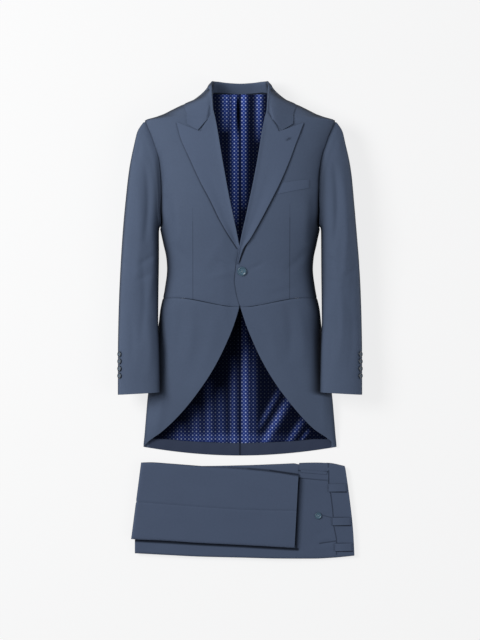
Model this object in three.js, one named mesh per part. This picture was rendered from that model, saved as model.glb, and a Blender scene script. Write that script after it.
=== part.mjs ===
// A morning-coat suit lying on a table: the coat on its back, filled out and hollow, the trousers folded below.
// Millimetres. X runs to the right of someone who looks down on the suit, Y towards the collar, Z up.
// The wearer's right side is at negative X.
import * as THREE from "three";

// Cloth and seams
const CLOTH = 2; // wall of the worsted pieces with their interlining
const LINING = 1; // wall of the lining
const SEAM_GAP = 0.3; // space between two pieces at a seam
const LAY_GAP = 0.9; // space between a piece and the one that lies on it

// Coat
const HEM_CENTRE_Y = -346; // lowest point of the tails, at the centre-back seam
const HEM_SIDE_Y = -323; // hem where the skirt turns to the back
const NECK_SEAM_Y = 577; // centre of the back neck seam
const NECK_POINT_Y = 567; // shoulder seam at the neck
const ARMHOLE_TOP_Y = 503;
const ARMHOLE_BOTTOM_Y = 235;
const ARMHOLE_FRONT_DEPTH = 12; // how far the armhole cuts in from the widest line, in front
const ARMHOLE_BACK_DEPTH = 14;
const CROWN_POWER = 3; // squareness of the chest section
const UNDERLAP_DROP = 3.2; // the wearer's right front lies this much lower at the overlap

// Hollow form of the coat, a row per height: half width, crown of the front, height of the widest line,
// and the width over which the back rounds up from the table
const FORM = [
  { y: -346, half: 245.5, crown: 9, side: 5, round: 14 },
  { y: -321, half: 245, crown: 15, side: 7, round: 16 },
  { y: -300, half: 243, crown: 25, side: 9, round: 20 },
  { y: -260, half: 240, crown: 41, side: 12, round: 26 },
  { y: -188, half: 235, crown: 60, side: 15, round: 32 },
  { y: -130, half: 227, crown: 67, side: 16, round: 36 },
  { y: -60, half: 215, crown: 78, side: 20, round: 40 },
  { y: -4, half: 207, crown: 90, side: 30, round: 44 },
  { y: 25, half: 203, crown: 96, side: 38, round: 46 },
  { y: 76, half: 192, crown: 106, side: 46, round: 48 },
  { y: 130, half: 185.5, crown: 117, side: 54, round: 48 },
  { y: 155, half: 187, crown: 123, side: 57, round: 48 },
  { y: 193, half: 195, crown: 132, side: 60, round: 46 },
  { y: 235, half: 204, crown: 142, side: 62, round: 44 },
  { y: 277, half: 211, crown: 148, side: 62, round: 42 },
  { y: 332, half: 213, crown: 150, side: 62, round: 42 },
  { y: 400, half: 218, crown: 147, side: 62, round: 44 },
  { y: 455, half: 231, crown: 139, side: 62, round: 56 },
  { y: 503, half: 243, crown: 126, side: 62, round: 90 },
  { y: 518, half: 204, crown: 120, side: 61, round: 86 },
  { y: 533, half: 166, crown: 113, side: 60, round: 78 },
  { y: 542, half: 146, crown: 107, side: 59, round: 70 },
  { y: 551, half: 118, crown: 102, side: 59, round: 64 },
  { y: 565, half: 92, crown: 93, side: 58, round: 56 },
  { y: 582, half: 76, crown: 80, side: 56, round: 50 },
];

// Lift of the back above the table, where the collar lies under it
const BACK_LIFT = [
  { y: 520, lift: 0 },
  { y: 556, lift: 3.4 },
  { y: 600, lift: 3.4 },
];

// Edges seen from the front: distance from the centre line, outwards positive, a row per height
const WEARER_RIGHT = {
  sign: -1,
  under: true,
  inner: [
    { y: 30, x: 1.5 },
    { y: 45, x: -4 },
    { y: 62, x: -10 },
    { y: 100, x: -14 },
    { y: 140, x: -13 },
    { y: 165, x: -7 },
    { y: 188, x: 2.5 },
    { y: 218, x: 9 },
    { y: 307, x: 28 },
    { y: 400, x: 45 },
    { y: 497, x: 62 },
    { y: 523, x: 72 },
    { y: 545, x: 84 },
    { y: 567, x: 88 },
  ],
  roll: [
    { y: 184, x: 1.5 },
    { y: 218, x: 8 },
    { y: 307, x: 27 },
    { y: 400, x: 44 },
    { y: 497, x: 61 },
    { y: 523.5, x: 70 },
  ],
  lapel: [
    { y: 184, x: 7.5 },
    { y: 213, x: 25.5 },
    { y: 257, x: 51.5 },
    { y: 308, x: 76.5 },
    { y: 356, x: 102 },
    { y: 410, x: 126.5 },
    { y: 466, x: 151.5 },
    { y: 507, x: 162.5 },
  ],
  lapelEnd: 184,
  notch: { x: 101, y: 484 },
  cutaway: [
    { y: -323, x: 244 },
    { y: -314, x: 233 },
    { y: -270, x: 189.5 },
    { y: -230, x: 146 },
    { y: -190, x: 109 },
    { y: -135, x: 78 },
    { y: -76, x: 48 },
    { y: -21, x: 21 },
    { y: 30, x: 1.5 },
    { y: 36, x: 0 },
  ],
  waistInnerY: 32,
};
const WEARER_LEFT = {
  sign: 1,
  under: false,
  inner: [
    { y: 30, x: 1 },
    { y: 63, x: -8 },
    { y: 97, x: -13.5 },
    { y: 142, x: -7.5 },
    { y: 180, x: 1.5 },
    { y: 277, x: 20.4 },
    { y: 383, x: 41.5 },
    { y: 497, x: 61 },
    { y: 523, x: 72 },
    { y: 545, x: 84 },
    { y: 567, x: 88 },
  ],
  roll: [
    { y: 142, x: -8 },
    { y: 180, x: 0.5 },
    { y: 277, x: 19.4 },
    { y: 383, x: 40.5 },
    { y: 497, x: 60 },
    { y: 523.5, x: 70 },
  ],
  lapel: [
    { y: 142, x: -4 },
    { y: 180, x: 7 },
    { y: 208, x: 25.5 },
    { y: 252, x: 51 },
    { y: 300, x: 76.5 },
    { y: 351, x: 102 },
    { y: 410, x: 127 },
    { y: 446, x: 140.5 },
    { y: 479, x: 153 },
    { y: 505, x: 163 },
  ],
  lapelEnd: 142,
  notch: { x: 99.7, y: 484 },
  cutaway: [
    { y: -323, x: 243.5 },
    { y: -314, x: 236 },
    { y: -271, x: 176 },
    { y: -228, x: 134 },
    { y: -169, x: 96 },
    { y: -93, x: 58 },
    { y: -34, x: 28 },
    { y: 30, x: 1 },
    { y: 36, x: -1 },
  ],
  waistInnerY: 32,
};
const WAIST_SIDE_Y = 55; // waist seam at the side seam
const WAIST_MIDDLE_Y = 50;

// Seam between back and side body, then between tail and skirt, on the back
const BACK_SEAM = [
  { y: -346, x: 104 },
  { y: -150, x: 84 },
  { y: 45, x: 62 },
  { y: 120, x: 78 },
  { y: 220, x: 120 },
  { y: 300, x: 170 },
  { y: 330, x: 199 },
];
const SIDE_BODY_TOP_Y = 318;

// Breast welt on the wearer's left front
const WELT = {
  innerLow: { x: 95, y: 320 },
  outerLow: { x: 178, y: 337 },
  innerHigh: { x: 107.5, y: 351 },
  outerHigh: { x: 178.5, y: 361 },
};

// Collar, a row per station from the centre back to the notch: foot of the stand, top of the stand, roll,
// start of the fall, middle and edge of the fall. Each is x, y, z of the face that shows.
const COLLAR = [
  {
    foot: [0, 577.4, 8.2], stand: [0, 598, 11.5], roll: [0, 604, 8.5],
    turn: [0, 601, 3.6], middle: [0, 588, 0.4], edge: [0, 560, 0.2],
  },
  {
    foot: [30, 578.6, 9.8], stand: [30, 599.5, 13.5], roll: [31, 605.5, 10.5],
    turn: [32, 602, 5.4], middle: [36, 588, 0.8], edge: [42, 559, 0.2],
  },
  {
    foot: [54, 580, 20], stand: [52, 600, 24], roll: [56, 607.5, 23],
    turn: [61, 603, 17.5], middle: [70, 585, 9], edge: [84, 556, 3],
  },
  {
    foot: [70, 577, 38], stand: [66, 600, 41], roll: [70, 607.5, 41],
    turn: [75, 602.5, 37], middle: [93, 580, 31], edge: [118, 551, 21],
  },
  {
    foot: [77.5, 568, 60], stand: [68.5, 590, 62], roll: [72, 598, 62],
    turn: [78, 594, 60], middle: [104, 572, 60], edge: [136, 548, 53],
  },
  {
    foot: [77, 552, 78], stand: [67.5, 568, 84], roll: [71, 574, 86],
    turn: [77, 571, 85], middle: [105, 552, 88], edge: [137, 537, 84],
  },
  {
    foot: [73, 536, 96], stand: [67, 543, 104], roll: [70, 546, 107.5],
    turn: [76, 542.5, 108], middle: [103, 524, 112], edge: [136, 518, 108],
  },
  {
    foot: [68.5, 523, 110], stand: [67.5, 524, 115], roll: [70, 524, 117.4],
    turn: [74, 518.5, 118], middle: [100, 484.6, 121], edge: [136, 501.4, 121],
  },
];
const COLLAR_PARTS = ["foot", "stand", "roll", "turn", "middle", "edge"];

// Sleeve, a row per ring: outer and inner edge, height of its middle and half its thickness
const SLEEVE = [
  { outer: [249, 503.6], inner: [203.6, 234], middle: 62, half: 44 },
  { outer: [264, 468], inner: [205, 229.5], middle: 62, half: 45 },
  { outer: [281, 391], inner: [205.2, 227], middle: 62, half: 46 },
  { outer: [291, 298], inner: [205.4, 223], middle: 62, half: 46 },
  { outer: [298, 215], inner: [205.6, 208], middle: 61, half: 45 },
  { outer: [303, 140], inner: [206, 137], middle: 58, half: 43 },
  { outer: [307, 60], inner: [207, 60], middle: 54, half: 40 },
  { outer: [309, -4], inner: [207.6, -4], middle: 53, half: 37 },
  { outer: [310, -76], inner: [204.8, -74], middle: 59, half: 33 },
  { outer: [310, -140], inner: [203.4, -136], middle: 62, half: 30 },
  { outer: [310, -190], inner: [202.5, -184], middle: 63, half: 28 },
];
const SLEEVE_SQUARENESS = 2.3;
const ARMHOLE_GAP = 1.3; // from the body to the sleeve head
const SLEEVE_TRIM = 0.004; // angle left open at the sleeve's two seams
const CAP_RINGS = 4; // rings over which the armhole's curve fades into the sleeve

// Buttons
const FRONT_BUTTON = { x: 5, y: 122, radius: 11.8, thickness: 4 };
const CUFF_BUTTON = { count: 4, firstY: -87, pitch: 18.2, radius: 7.5, thickness: 3, angle: 0.42 };
const POCKET_BUTTON = { x: 200, y: -501, radius: 8.8, thickness: 3.2 };

// Linings
const TAIL_LINING_TOP_Y = 40;
const FACING_TOP = [
  { x: 0, y: -317 },
  { x: 120, y: -312 },
  { x: 190, y: -306 },
];
const LINING_OUTER_X = 222;
const HEM_FACING_REACH = 211;
const BACK_LINING_REACH = 140;
const NECK_LINING_REACH = 60;
const NECK_PLEAT = { x: 9, width: 7, height: 5 };
const TAIL_FOLDS = [
  { x: 9, lean: 0, width: 6, height: 5 },
  { x: 66, lean: 0.16, width: 12, height: 4 },
  { x: 118, lean: 0.3, width: 14, height: 5 },
];

// Folded trousers: outline, a row per distance along the legs
const TROUSER_OUTLINE = [
  { x: -270, top: -372, bottom: -596 },
  { x: -187, top: -369, bottom: -599.5 },
  { x: -107, top: -374, bottom: -603.5 },
  { x: 13, top: -372, bottom: -607 },
  { x: 93, top: -369, bottom: -608 },
  { x: 192, top: -365.5, bottom: -608 },
  { x: 228, top: -367, bottom: -606 },
  { x: 268, top: -375, bottom: -602.5 },
  { x: 292, top: -381, bottom: -600 },
];
const TOP_LEG = [
  { x: -278, top: -364.5, seam: -465, bottom: -560 },
  { x: -254, top: -363.8, seam: -466, bottom: -562 },
  { x: -200, top: -367, seam: -470, bottom: -564 },
  { x: -107, top: -374, seam: -477, bottom: -570 },
  { x: 5, top: -381, seam: -484, bottom: -575.5 },
  { x: 76.5, top: -388, seam: -486, bottom: -579.5 },
  { x: 144, top: -398.5, seam: -487, bottom: -583 },
];
const HEM_SLANT = 0.055; // the turned-back hem leans over its width
const TURN = { low: { x: -278, y: -560 }, high: { x: -252.5, y: -364 } }; // slanting fold at the knee
const SIDE_SEAM = [
  { x: 152, y: -405 },
  { x: 245, y: -415 },
];
const BAND_INNER = [
  { y: -369, x: 226 },
  { y: -441, x: 230 },
  { y: -524, x: 240 },
  { y: -568, x: 246 },
  { y: -604, x: 243.5 },
];
const BAND_OUTER = [
  { y: -375, x: 268 },
  { y: -425, x: 275 },
  { y: -505, x: 285 },
  { y: -545, x: 288 },
  { y: -604, x: 291.5 },
];
const LEG_LAYER_TOP = 15; // where the outer cloth of the wearer's left leg lies
const LEG_LAYER_SLACK = 1.5; // air under that cloth
const TURNED_TOP = 28; // top of the hidden layers under the turned-back leg
const WAIST_TOP = 11; // top of the hidden layers inside the waistband
const EDGE_ROUND = 7; // radius of a crease
const BAND = 3; // thickness of the waistband
const LAYER_INSET = 3.8; // the hidden layers end this far inside the cloth over them
const LAYERS_END_X = 222; // where the hidden layers end, before the waistband
const BELT_LOOPS = [
  { y: -430, width: 19 },
  { y: -516, width: 19 },
  { y: -582, width: 19 },
];
const SIDE_POCKET = {
  start: { x: 155, y: -386.5 },
  end: { x: 222, y: -392 },
  width: 7,
  wall: 1.2,
};

// Numbers and tables

const lerp = (a, b, t) => a + (b - a) * t;
const clamp = (v, low, high) => Math.min(high, Math.max(low, v));

function smooth(from, to, v) {
  const t = clamp((v - from) / (to - from), 0, 1);
  return t * t * (3 - 2 * t);
}

// A smooth curve through a column of a table, with no overshoot between its rows.
function read(rows, key, at, column) {
  const last = rows.length - 1;
  const ends = [Math.min(rows[0][key], rows[last][key]), Math.max(rows[0][key], rows[last][key])];
  const v = clamp(at, ends[0], ends[1]);
  let i = 0;
  while (i < last - 1 && (rows[i + 1][key] - v) * (rows[last][key] - rows[0][key]) < 0) i += 1;
  const slope = (k) =>
    (rows[k + 1][column] - rows[k][column]) / (rows[k + 1][key] - rows[k][key]);
  const tangent = (k) => {
    if (k === 0) return slope(0);
    if (k === last) return slope(last - 1);
    const before = slope(k - 1);
    const after = slope(k);
    return before * after <= 0 ? 0 : (2 * before * after) / (before + after);
  };
  const span = rows[i + 1][key] - rows[i][key];
  const t = (v - rows[i][key]) / span;
  const a = rows[i][column];
  const b = rows[i + 1][column];
  const rise = (t - 1) * (t - 1) * t * span * tangent(i) + (t - 1) * t * t * span * tangent(i + 1);
  return lerp(a, b, t * t * (3 - 2 * t)) + rise;
}

// Closed sheets of cloth

function mesh(name, geometry, material) {
  geometry.computeVertexNormals();
  const made = new THREE.Mesh(geometry, material);
  made.name = name;
  return made;
}

function volumeOf(points, faces) {
  let sum = 0;
  const cross = new THREE.Vector3();
  for (const [a, b, c] of faces) sum += points[a].dot(cross.crossVectors(points[b], points[c]));
  return sum / 6;
}

function bodyOf(points, faces) {
  const outward = volumeOf(points, faces) > 0 ? faces : faces.map(([a, b, c]) => [a, c, b]);
  const geometry = new THREE.BufferGeometry().setFromPoints(points);
  geometry.setIndex(outward.flat());
  return geometry;
}

// A sheet between two faces: place(u, v, face) gives a point of face 0 (outer) or 1 (inner).
function sheet(columns, rows, place) {
  const us = Array.isArray(columns) ? columns : evenly(columns);
  const vs = Array.isArray(rows) ? rows : evenly(rows);
  const points = [];
  for (const face of [0, 1]) for (const v of vs) for (const u of us) points.push(place(u, v, face));
  const wide = us.length;
  const size = wide * vs.length;
  const at = (i, j, face) => face * size + j * wide + i;
  const faces = [];
  const quad = (a, b, c, d) => faces.push([a, b, c], [a, c, d]);
  for (let j = 0; j < vs.length - 1; j += 1)
    for (let i = 0; i < wide - 1; i += 1) {
      quad(at(i, j, 0), at(i + 1, j, 0), at(i + 1, j + 1, 0), at(i, j + 1, 0));
      quad(at(i, j, 1), at(i, j + 1, 1), at(i + 1, j + 1, 1), at(i + 1, j, 1));
    }
  for (let i = 0; i < wide - 1; i += 1) {
    const j = vs.length - 1;
    quad(at(i, 0, 1), at(i + 1, 0, 1), at(i + 1, 0, 0), at(i, 0, 0));
    quad(at(i, j, 0), at(i + 1, j, 0), at(i + 1, j, 1), at(i, j, 1));
  }
  for (let j = 0; j < vs.length - 1; j += 1) {
    const i = wide - 1;
    quad(at(0, j, 0), at(0, j + 1, 0), at(0, j + 1, 1), at(0, j, 1));
    quad(at(i, j, 1), at(i, j + 1, 1), at(i, j + 1, 0), at(i, j, 0));
  }
  return bodyOf(points, faces);
}

const evenly = (count) => Array.from({ length: count + 1 }, (_, i) => i / count);

// Point of a surface, moved out along its normal. turn is +1 or -1, for the side the normal is on.
function offset(surface, a, b, out, turn) {
  const step = 0.004;
  const here = surface(a, b);
  const along = surface(a + step, b).sub(surface(a - step, b));
  const across = surface(a, b + step).sub(surface(a, b - step));
  const normal = along.cross(across).normalize().multiplyScalar(turn * out);
  return here.add(normal);
}

// Hollow form of the coat. Around a section, tau is 0 at the centre front, 1 at the widest line,
// 2 where the back leaves the table and 3 at the centre back.

function formAt(y) {
  return {
    half: read(FORM, "y", y, "half"),
    crown: read(FORM, "y", y, "crown"),
    side: read(FORM, "y", y, "side"),
    round: read(FORM, "y", y, "round"),
    lift: read(BACK_LIFT, "y", y, "lift"),
  };
}

function formPoint(tau, y) {
  const f = formAt(y);
  const flat = f.half - f.round;
  if (tau <= 1) {
    const angle = (tau * Math.PI) / 2;
    const reach = Math.pow(Math.abs(Math.sin(angle)), 2 / CROWN_POWER);
    const height = f.side + (f.crown - f.side) * Math.cos(angle);
    return new THREE.Vector3(Math.sign(tau) * f.half * reach, y, height);
  }
  if (tau <= 2) {
    const angle = ((tau - 1) * Math.PI) / 2;
    const height = lerp(f.side, f.lift, Math.sin(angle));
    return new THREE.Vector3(flat + f.round * Math.cos(angle), y, height);
  }
  return new THREE.Vector3(flat * (3 - tau), y, f.lift);
}

// tau of a distance from the centre line, on the front and on the back
function frontTau(x, y) {
  const reach = clamp(Math.abs(x) / read(FORM, "y", y, "half"), 0, 1);
  return (Math.sign(x) * Math.asin(Math.pow(reach, CROWN_POWER / 2)) * 2) / Math.PI;
}

function backTau(x, y) {
  const f = formAt(y);
  const flat = f.half - f.round;
  if (x <= flat) return 3 - x / flat;
  return 1 + (Math.acos(clamp((x - flat) / f.round, 0, 1)) * 2) / Math.PI;
}

// tau at a share u of the way along a section, measured on the cloth, with the seam gap left at each end
function alongSection(y, from, to, u, trim = SEAM_GAP / 2) {
  const pieces = 28;
  const taus = evenly(pieces).map((t) => lerp(from, to, t));
  const spots = taus.map((t) => formPoint(t, y));
  const lengths = [0];
  for (let i = 1; i <= pieces; i += 1) lengths.push(lengths[i - 1] + spots[i].distanceTo(spots[i - 1]));
  const whole = lengths[pieces];
  const wanted = lerp(Math.min(trim, whole / 3), Math.max(whole - trim, (whole * 2) / 3), u);
  let i = 1;
  while (i < pieces && lengths[i] < wanted) i += 1;
  const share = (wanted - lengths[i - 1]) / Math.max(lengths[i] - lengths[i - 1], 1e-6);
  return lerp(taus[i - 1], taus[i], share);
}

// Point on the coat, moved out from its outer face, on the wearer's left (sign 1) or right (sign -1)
function coatPoint(sign, tau, y, out) {
  const scaled = (t, h) => formPoint(t, h * 100);
  const spot = offset(scaled, tau, y / 100, out, 1);
  spot.x *= sign;
  return spot;
}

function armholeCut(y) {
  const share = clamp((y - ARMHOLE_BOTTOM_Y) / (ARMHOLE_TOP_Y - ARMHOLE_BOTTOM_Y), 0, 1);
  return Math.sqrt(Math.sin(Math.PI * share));
}

const armholeFront = (y) =>
  frontTau(read(FORM, "y", y, "half") - ARMHOLE_FRONT_DEPTH * armholeCut(y), y);
const armholeBack = (y) =>
  backTau(read(FORM, "y", y, "half") - ARMHOLE_BACK_DEPTH * armholeCut(y), y);

const inArmhole = (y) => y > ARMHOLE_BOTTOM_Y && y < ARMHOLE_TOP_Y;

// A piece of the coat between two edges of each section and two curves of height
function coatPiece(name, material, side, shape) {
  const place = (u, v, face) => {
    const y = lerp(shape.low(u) + SEAM_GAP / 2, shape.high(u) - SEAM_GAP / 2, v);
    const [from, to] = shape.edges(y);
    const tau = alongSection(y, from, to, u);
    const shift = shape.shift ? shape.shift(tau, y) : 0;
    return coatPoint(side.sign, tau, y, shape.out + shift - face * shape.wall);
  };
  return mesh(name, sheet(shape.columns, shape.rows, place), material);
}

// The under front lies lower towards the centre, below the front that laps over it.
function underlap(side, tau, y) {
  if (!side.under) return 0;
  const x = formPoint(tau, y).x;
  return -UNDERLAP_DROP * (1 - smooth(10, 46, x)) * (1 - smooth(190, 250, y)) * smooth(-60, 20, y);
}

const waistSeam = (side) => (u) =>
  lerp(side.waistInnerY, WAIST_SIDE_Y, smooth(0, 0.75, u));

// Heights of the rows that two neighbours share at the seams on the back
const TAIL_LOW_Y = HEM_CENTRE_Y + 3;
const tailHeights = evenly(11).map((v) => lerp(TAIL_LOW_Y, WAIST_SIDE_Y, v));
const bodyHeights = [WAIST_SIDE_Y, 95, 135, 175, 210, 240, 268, 294, SIDE_BODY_TOP_Y];
const shoulderHeights = [360, 405, 450, 485, 503, 518, 533, 550, NECK_POINT_Y];
const chestHeights = [WAIST_SIDE_Y, 85, 115, 145, 175, 205, 235, 268, 300, 332];
const frontHeights = [...chestHeights, ...shoulderHeights];
const shares = (heights) =>
  heights.map((y) => (y - heights[0]) / (heights[heights.length - 1] - heights[0]));

function front(name, material, side) {
  return coatPiece(name, material, side, {
    columns: 8,
    rows: shares(frontHeights),
    out: 0,
    wall: CLOTH,
    low: waistSeam(side),
    high: () => NECK_POINT_Y,
    edges: (y) => [
      frontTau(read(side.inner, "y", y, "x"), y),
      inArmhole(y) ? armholeFront(y) : 1,
    ],
    shift: (tau, y) => underlap(side, tau, y),
  });
}

function sideBody(name, material, side) {
  return coatPiece(name, material, side, {
    columns: 4,
    rows: shares(bodyHeights),
    out: 0,
    wall: CLOTH,
    low: () => WAIST_SIDE_Y,
    high: () => SIDE_BODY_TOP_Y,
    edges: (y) => [
      inArmhole(y) ? armholeBack(y) : 1,
      backTau(read(BACK_SEAM, "y", y, "x"), y),
    ],
  });
}

function backEdge(y) {
  if (y < SIDE_BODY_TOP_Y) return backTau(read(BACK_SEAM, "y", y, "x"), y);
  return inArmhole(y) ? armholeBack(y) : 1;
}

function back(name, material, side) {
  return coatPiece(name, material, side, {
    columns: 7,
    rows: shares([...tailHeights, ...bodyHeights.slice(1), ...shoulderHeights]),
    out: 0,
    wall: CLOTH,
    low: (u) => lerp(TAIL_LOW_Y, HEM_CENTRE_Y, u * (2 - u)),
    high: (u) => lerp(NECK_POINT_Y, NECK_SEAM_Y, smooth(0, 0.5, u)),
    edges: (y) => [backEdge(y), 3],
  });
}

function skirt(name, material, side) {
  return coatPiece(name, material, side, {
    columns: 11,
    rows: shares(tailHeights),
    out: 0,
    wall: CLOTH,
    low: (u) => lerp(HEM_SIDE_Y, TAIL_LOW_Y, smooth(0, 1, u)),
    high: (u) =>
      lerp(side.waistInnerY, WAIST_SIDE_Y, smooth(0, 0.45, u)) - SEAM_GAP * (1 - smooth(0.7, 1, u)),
    edges: (y) => [
      frontTau(read(side.cutaway, "y", y, "x"), y),
      backTau(read(BACK_SEAM, "y", y, "x"), y),
    ],
    shift: (tau, y) => (tau < 1 ? underlap(side, tau, y) : 0),
  });
}

// Linings and facings inside the back

function foldHeight(folds, x, y) {
  let height = 0;
  for (const fold of folds) {
    const from = (x - fold.x - (fold.lean ?? 0) * (y + 200)) / fold.width;
    height += fold.height * Math.exp(-from * from);
  }
  return height;
}

function backLining(name, material, side) {
  const place = (u, v, face) => {
    const y = lerp(TAIL_LINING_TOP_Y + 18, NECK_SEAM_Y - 1, v);
    const reach = clamp(read(FORM, "y", y, "half") - 66, NECK_LINING_REACH, BACK_LINING_REACH);
    const x = lerp(SEAM_GAP / 2, reach, u);
    const under = CLOTH + 2 * SEAM_GAP + 2.5 * smooth(490, 535, y);
    const spot = coatPoint(side.sign, backTau(x, y), y, -(under + (1 - face) * LINING));
    const near = smooth(NECK_SEAM_Y, NECK_SEAM_Y - 60, y) * smooth(0, 0.3, v);
    spot.z += near * foldHeight([NECK_PLEAT], x, y);
    return spot;
  };
  return mesh(name, sheet([0, 0.04, 0.09, 0.15, 0.32, 0.55, 0.78, 1], 12, place), material);
}

const facingTop = (x) => read(FACING_TOP, "x", x, "y");

function tailReach(y) {
  return read(FORM, "y", y, "half") - read(FORM, "y", y, "round") - 12;
}

function tailLining(name, material, side) {
  const place = (u, v, face) => {
    const low = (x) => facingTop(x) + SEAM_GAP;
    let x = lerp(SEAM_GAP / 2, LINING_OUTER_X - 2, u);
    let y = lerp(low(x), TAIL_LINING_TOP_Y, v);
    x = lerp(SEAM_GAP / 2, Math.min(tailReach(y), LINING_OUTER_X), u);
    const fade = smooth(0, 0.16, v) * smooth(1, 0.8, v) * smooth(1, 0.85, u);
    const rise = fade * foldHeight(TAIL_FOLDS, x, y);
    return new THREE.Vector3(side.sign * x, y, CLOTH + SEAM_GAP + rise + (1 - face) * LINING);
  };
  const columns = [0, 0.03, 0.07, 0.15, 0.25, 0.33, 0.42, 0.52, 0.62, 0.74, 0.87, 1];
  return mesh(name, sheet(columns, 9, place), material);
}

function hemFacing(name, material, side) {
  const place = (u, v, face) => {
    const x = lerp(SEAM_GAP / 2, HEM_FACING_REACH, u);
    const hem = lerp(HEM_CENTRE_Y, HEM_SIDE_Y, Math.pow(x / 245, 2));
    const y = lerp(hem + 1, facingTop(x) - SEAM_GAP, v);
    return new THREE.Vector3(side.sign * x, y, CLOTH + SEAM_GAP + (1 - face) * LINING);
  };
  return mesh(name, sheet(8, 1, place), material);
}

// Lapels, welt and collar

function lapel(name, material, side) {
  const top = side.roll[side.roll.length - 1].y - 1;
  const peak = side.lapel[side.lapel.length - 1].y;
  const notchShare = 0.44;
  const high = (u) =>
    u < notchShare
      ? lerp(top, side.notch.y - 3.2, u / notchShare)
      : lerp(side.notch.y - 3.2, peak, (u - notchShare) / (1 - notchShare));
  const place = (u, v, face) => {
    const y = lerp(side.lapelEnd + 0.5, high(u), v);
    const x = lerp(read(side.roll, "y", y, "x"), read(side.lapel, "y", y, "x"), u);
    const tau = frontTau(x, y);
    const roll = 3 * Math.exp(-Math.pow((u * (read(side.lapel, "y", y, "x") - x + 8)) / 9, 2));
    const lift = LAY_GAP + roll * (u < 0.5 ? 1 - u * 2 : 0);
    const out = lift + (1 - face) * CLOTH + underlap(side, tau, y);
    return coatPoint(side.sign, tau, y, out);
  };
  return mesh(name, sheet([0, 0.1, 0.25, notchShare, 0.7, 1], 13, place), material);
}

function welt(name, material, side) {
  const place = (u, v, face) => {
    const x = lerp(
      lerp(WELT.innerLow.x, WELT.outerLow.x, u),
      lerp(WELT.innerHigh.x, WELT.outerHigh.x, u),
      v,
    );
    const y = lerp(
      lerp(WELT.innerLow.y, WELT.outerLow.y, u),
      lerp(WELT.innerHigh.y, WELT.outerHigh.y, u),
      v,
    );
    return coatPoint(side.sign, frontTau(x, y), y, LAY_GAP + (1 - face) * CLOTH);
  };
  return mesh(name, sheet(6, 2, place), material);
}

function collarCurves() {
  const mirrored = [...COLLAR].reverse().slice(0, -1);
  return COLLAR_PARTS.map((part) => {
    const left = mirrored.map((row) => new THREE.Vector3(-row[part][0], row[part][1], row[part][2]));
    const right = COLLAR.map((row) => new THREE.Vector3(...row[part]));
    return new THREE.CatmullRomCurve3([...left, ...right], false, "catmullrom", 0.5);
  });
}

function collar(name, material) {
  const curves = collarCurves();
  const stations = (COLLAR.length - 1) * 2;
  const across = COLLAR_PARTS.length - 1;
  const reachFrom = (spot, height) => Math.hypot(spot.x, spot.z - height);
  // Keeps the fall outside the shoulders that it lies on.
  const clear = (spot) => {
    const x = Math.abs(spot.x);
    const f = formAt(spot.y);
    const flat = f.half - f.round;
    if ((x < flat && spot.z < f.side) || spot.y > NECK_SEAM_Y) return spot;
    const above = Math.atan2(Math.pow(x / f.half, CROWN_POWER / 2), (spot.z - f.side) / (f.crown - f.side));
    const below = Math.atan2((f.side - spot.z) / (f.side - f.lift), (x - flat) / f.round);
    const tau = spot.z >= f.side ? (above * 2) / Math.PI : 1 + (below * 2) / Math.PI;
    const bed = coatPoint(Math.sign(spot.x) || 1, tau, spot.y, CLOTH + LAY_GAP + 1.1);
    return reachFrom(spot, f.side) < reachFrom(bed, f.side) ? bed : spot;
  };
  const surface = (u, v) => {
    const t = clamp(v * across, 0, across);
    const i = Math.min(Math.floor(t), across - 1);
    const share = t - i;
    const along = clamp(u, 0, 1);
    const spot = curves[i].getPoint(along).lerp(curves[i + 1].getPoint(along), share);
    return t > 2.5 ? clear(spot) : spot;
  };
  const place = (u, v, face) => offset(surface, u, v, face * CLOTH, -1);
  return mesh(name, sheet(stations * 2, [0, 0.2, 0.4, 0.6, 0.7, 0.8, 0.9, 1], place), material);
}

// Sleeves

const sleeveCurves = {
  outer: new THREE.CatmullRomCurve3(SLEEVE.map((r) => new THREE.Vector3(...r.outer, r.middle))),
  inner: new THREE.CatmullRomCurve3(SLEEVE.map((r) => new THREE.Vector3(...r.inner, r.middle))),
};

// Ring of the sleeve: angle 0 at its outer edge, a quarter turn up at the middle of the top side
function sleeveRing(f, angle) {
  const outer = sleeveCurves.outer.getPoint(clamp(f, 0, 1));
  const inner = sleeveCurves.inner.getPoint(clamp(f, 0, 1));
  const rows = SLEEVE.map((r, i) => ({ at: i / (SLEEVE.length - 1), half: r.half }));
  const half = read(rows, "at", f, "half");
  const power = 2 / SLEEVE_SQUARENESS;
  const along = Math.sign(Math.cos(angle)) * Math.pow(Math.abs(Math.cos(angle)), power);
  const up = Math.sign(Math.sin(angle)) * Math.pow(Math.abs(Math.sin(angle)), power);
  const spot = outer.clone().add(inner).multiplyScalar(0.5);
  spot.addScaledVector(outer.sub(inner), along / 2);
  spot.z += up * half;
  return spot;
}

function armholePoint(angle) {
  const middle = (ARMHOLE_TOP_Y + ARMHOLE_BOTTOM_Y) / 2;
  const half = (ARMHOLE_TOP_Y - ARMHOLE_BOTTOM_Y) / 2 - 0.5;
  const y = middle + half * Math.cos(angle);
  const tau = Math.sin(angle) >= 0 ? armholeFront(y) : armholeBack(y);
  const spot = formPoint(tau, y);
  spot.x += ARMHOLE_GAP;
  return spot;
}

function sleevePoint(f, angle) {
  const spot = sleeveRing(f, angle);
  const fade = Math.pow(1 - clamp((f * (SLEEVE.length - 1)) / CAP_RINGS, 0, 1), 2);
  if (fade > 0) spot.addScaledVector(armholePoint(angle).sub(sleeveRing(0, angle)), fade);
  return spot;
}

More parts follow.
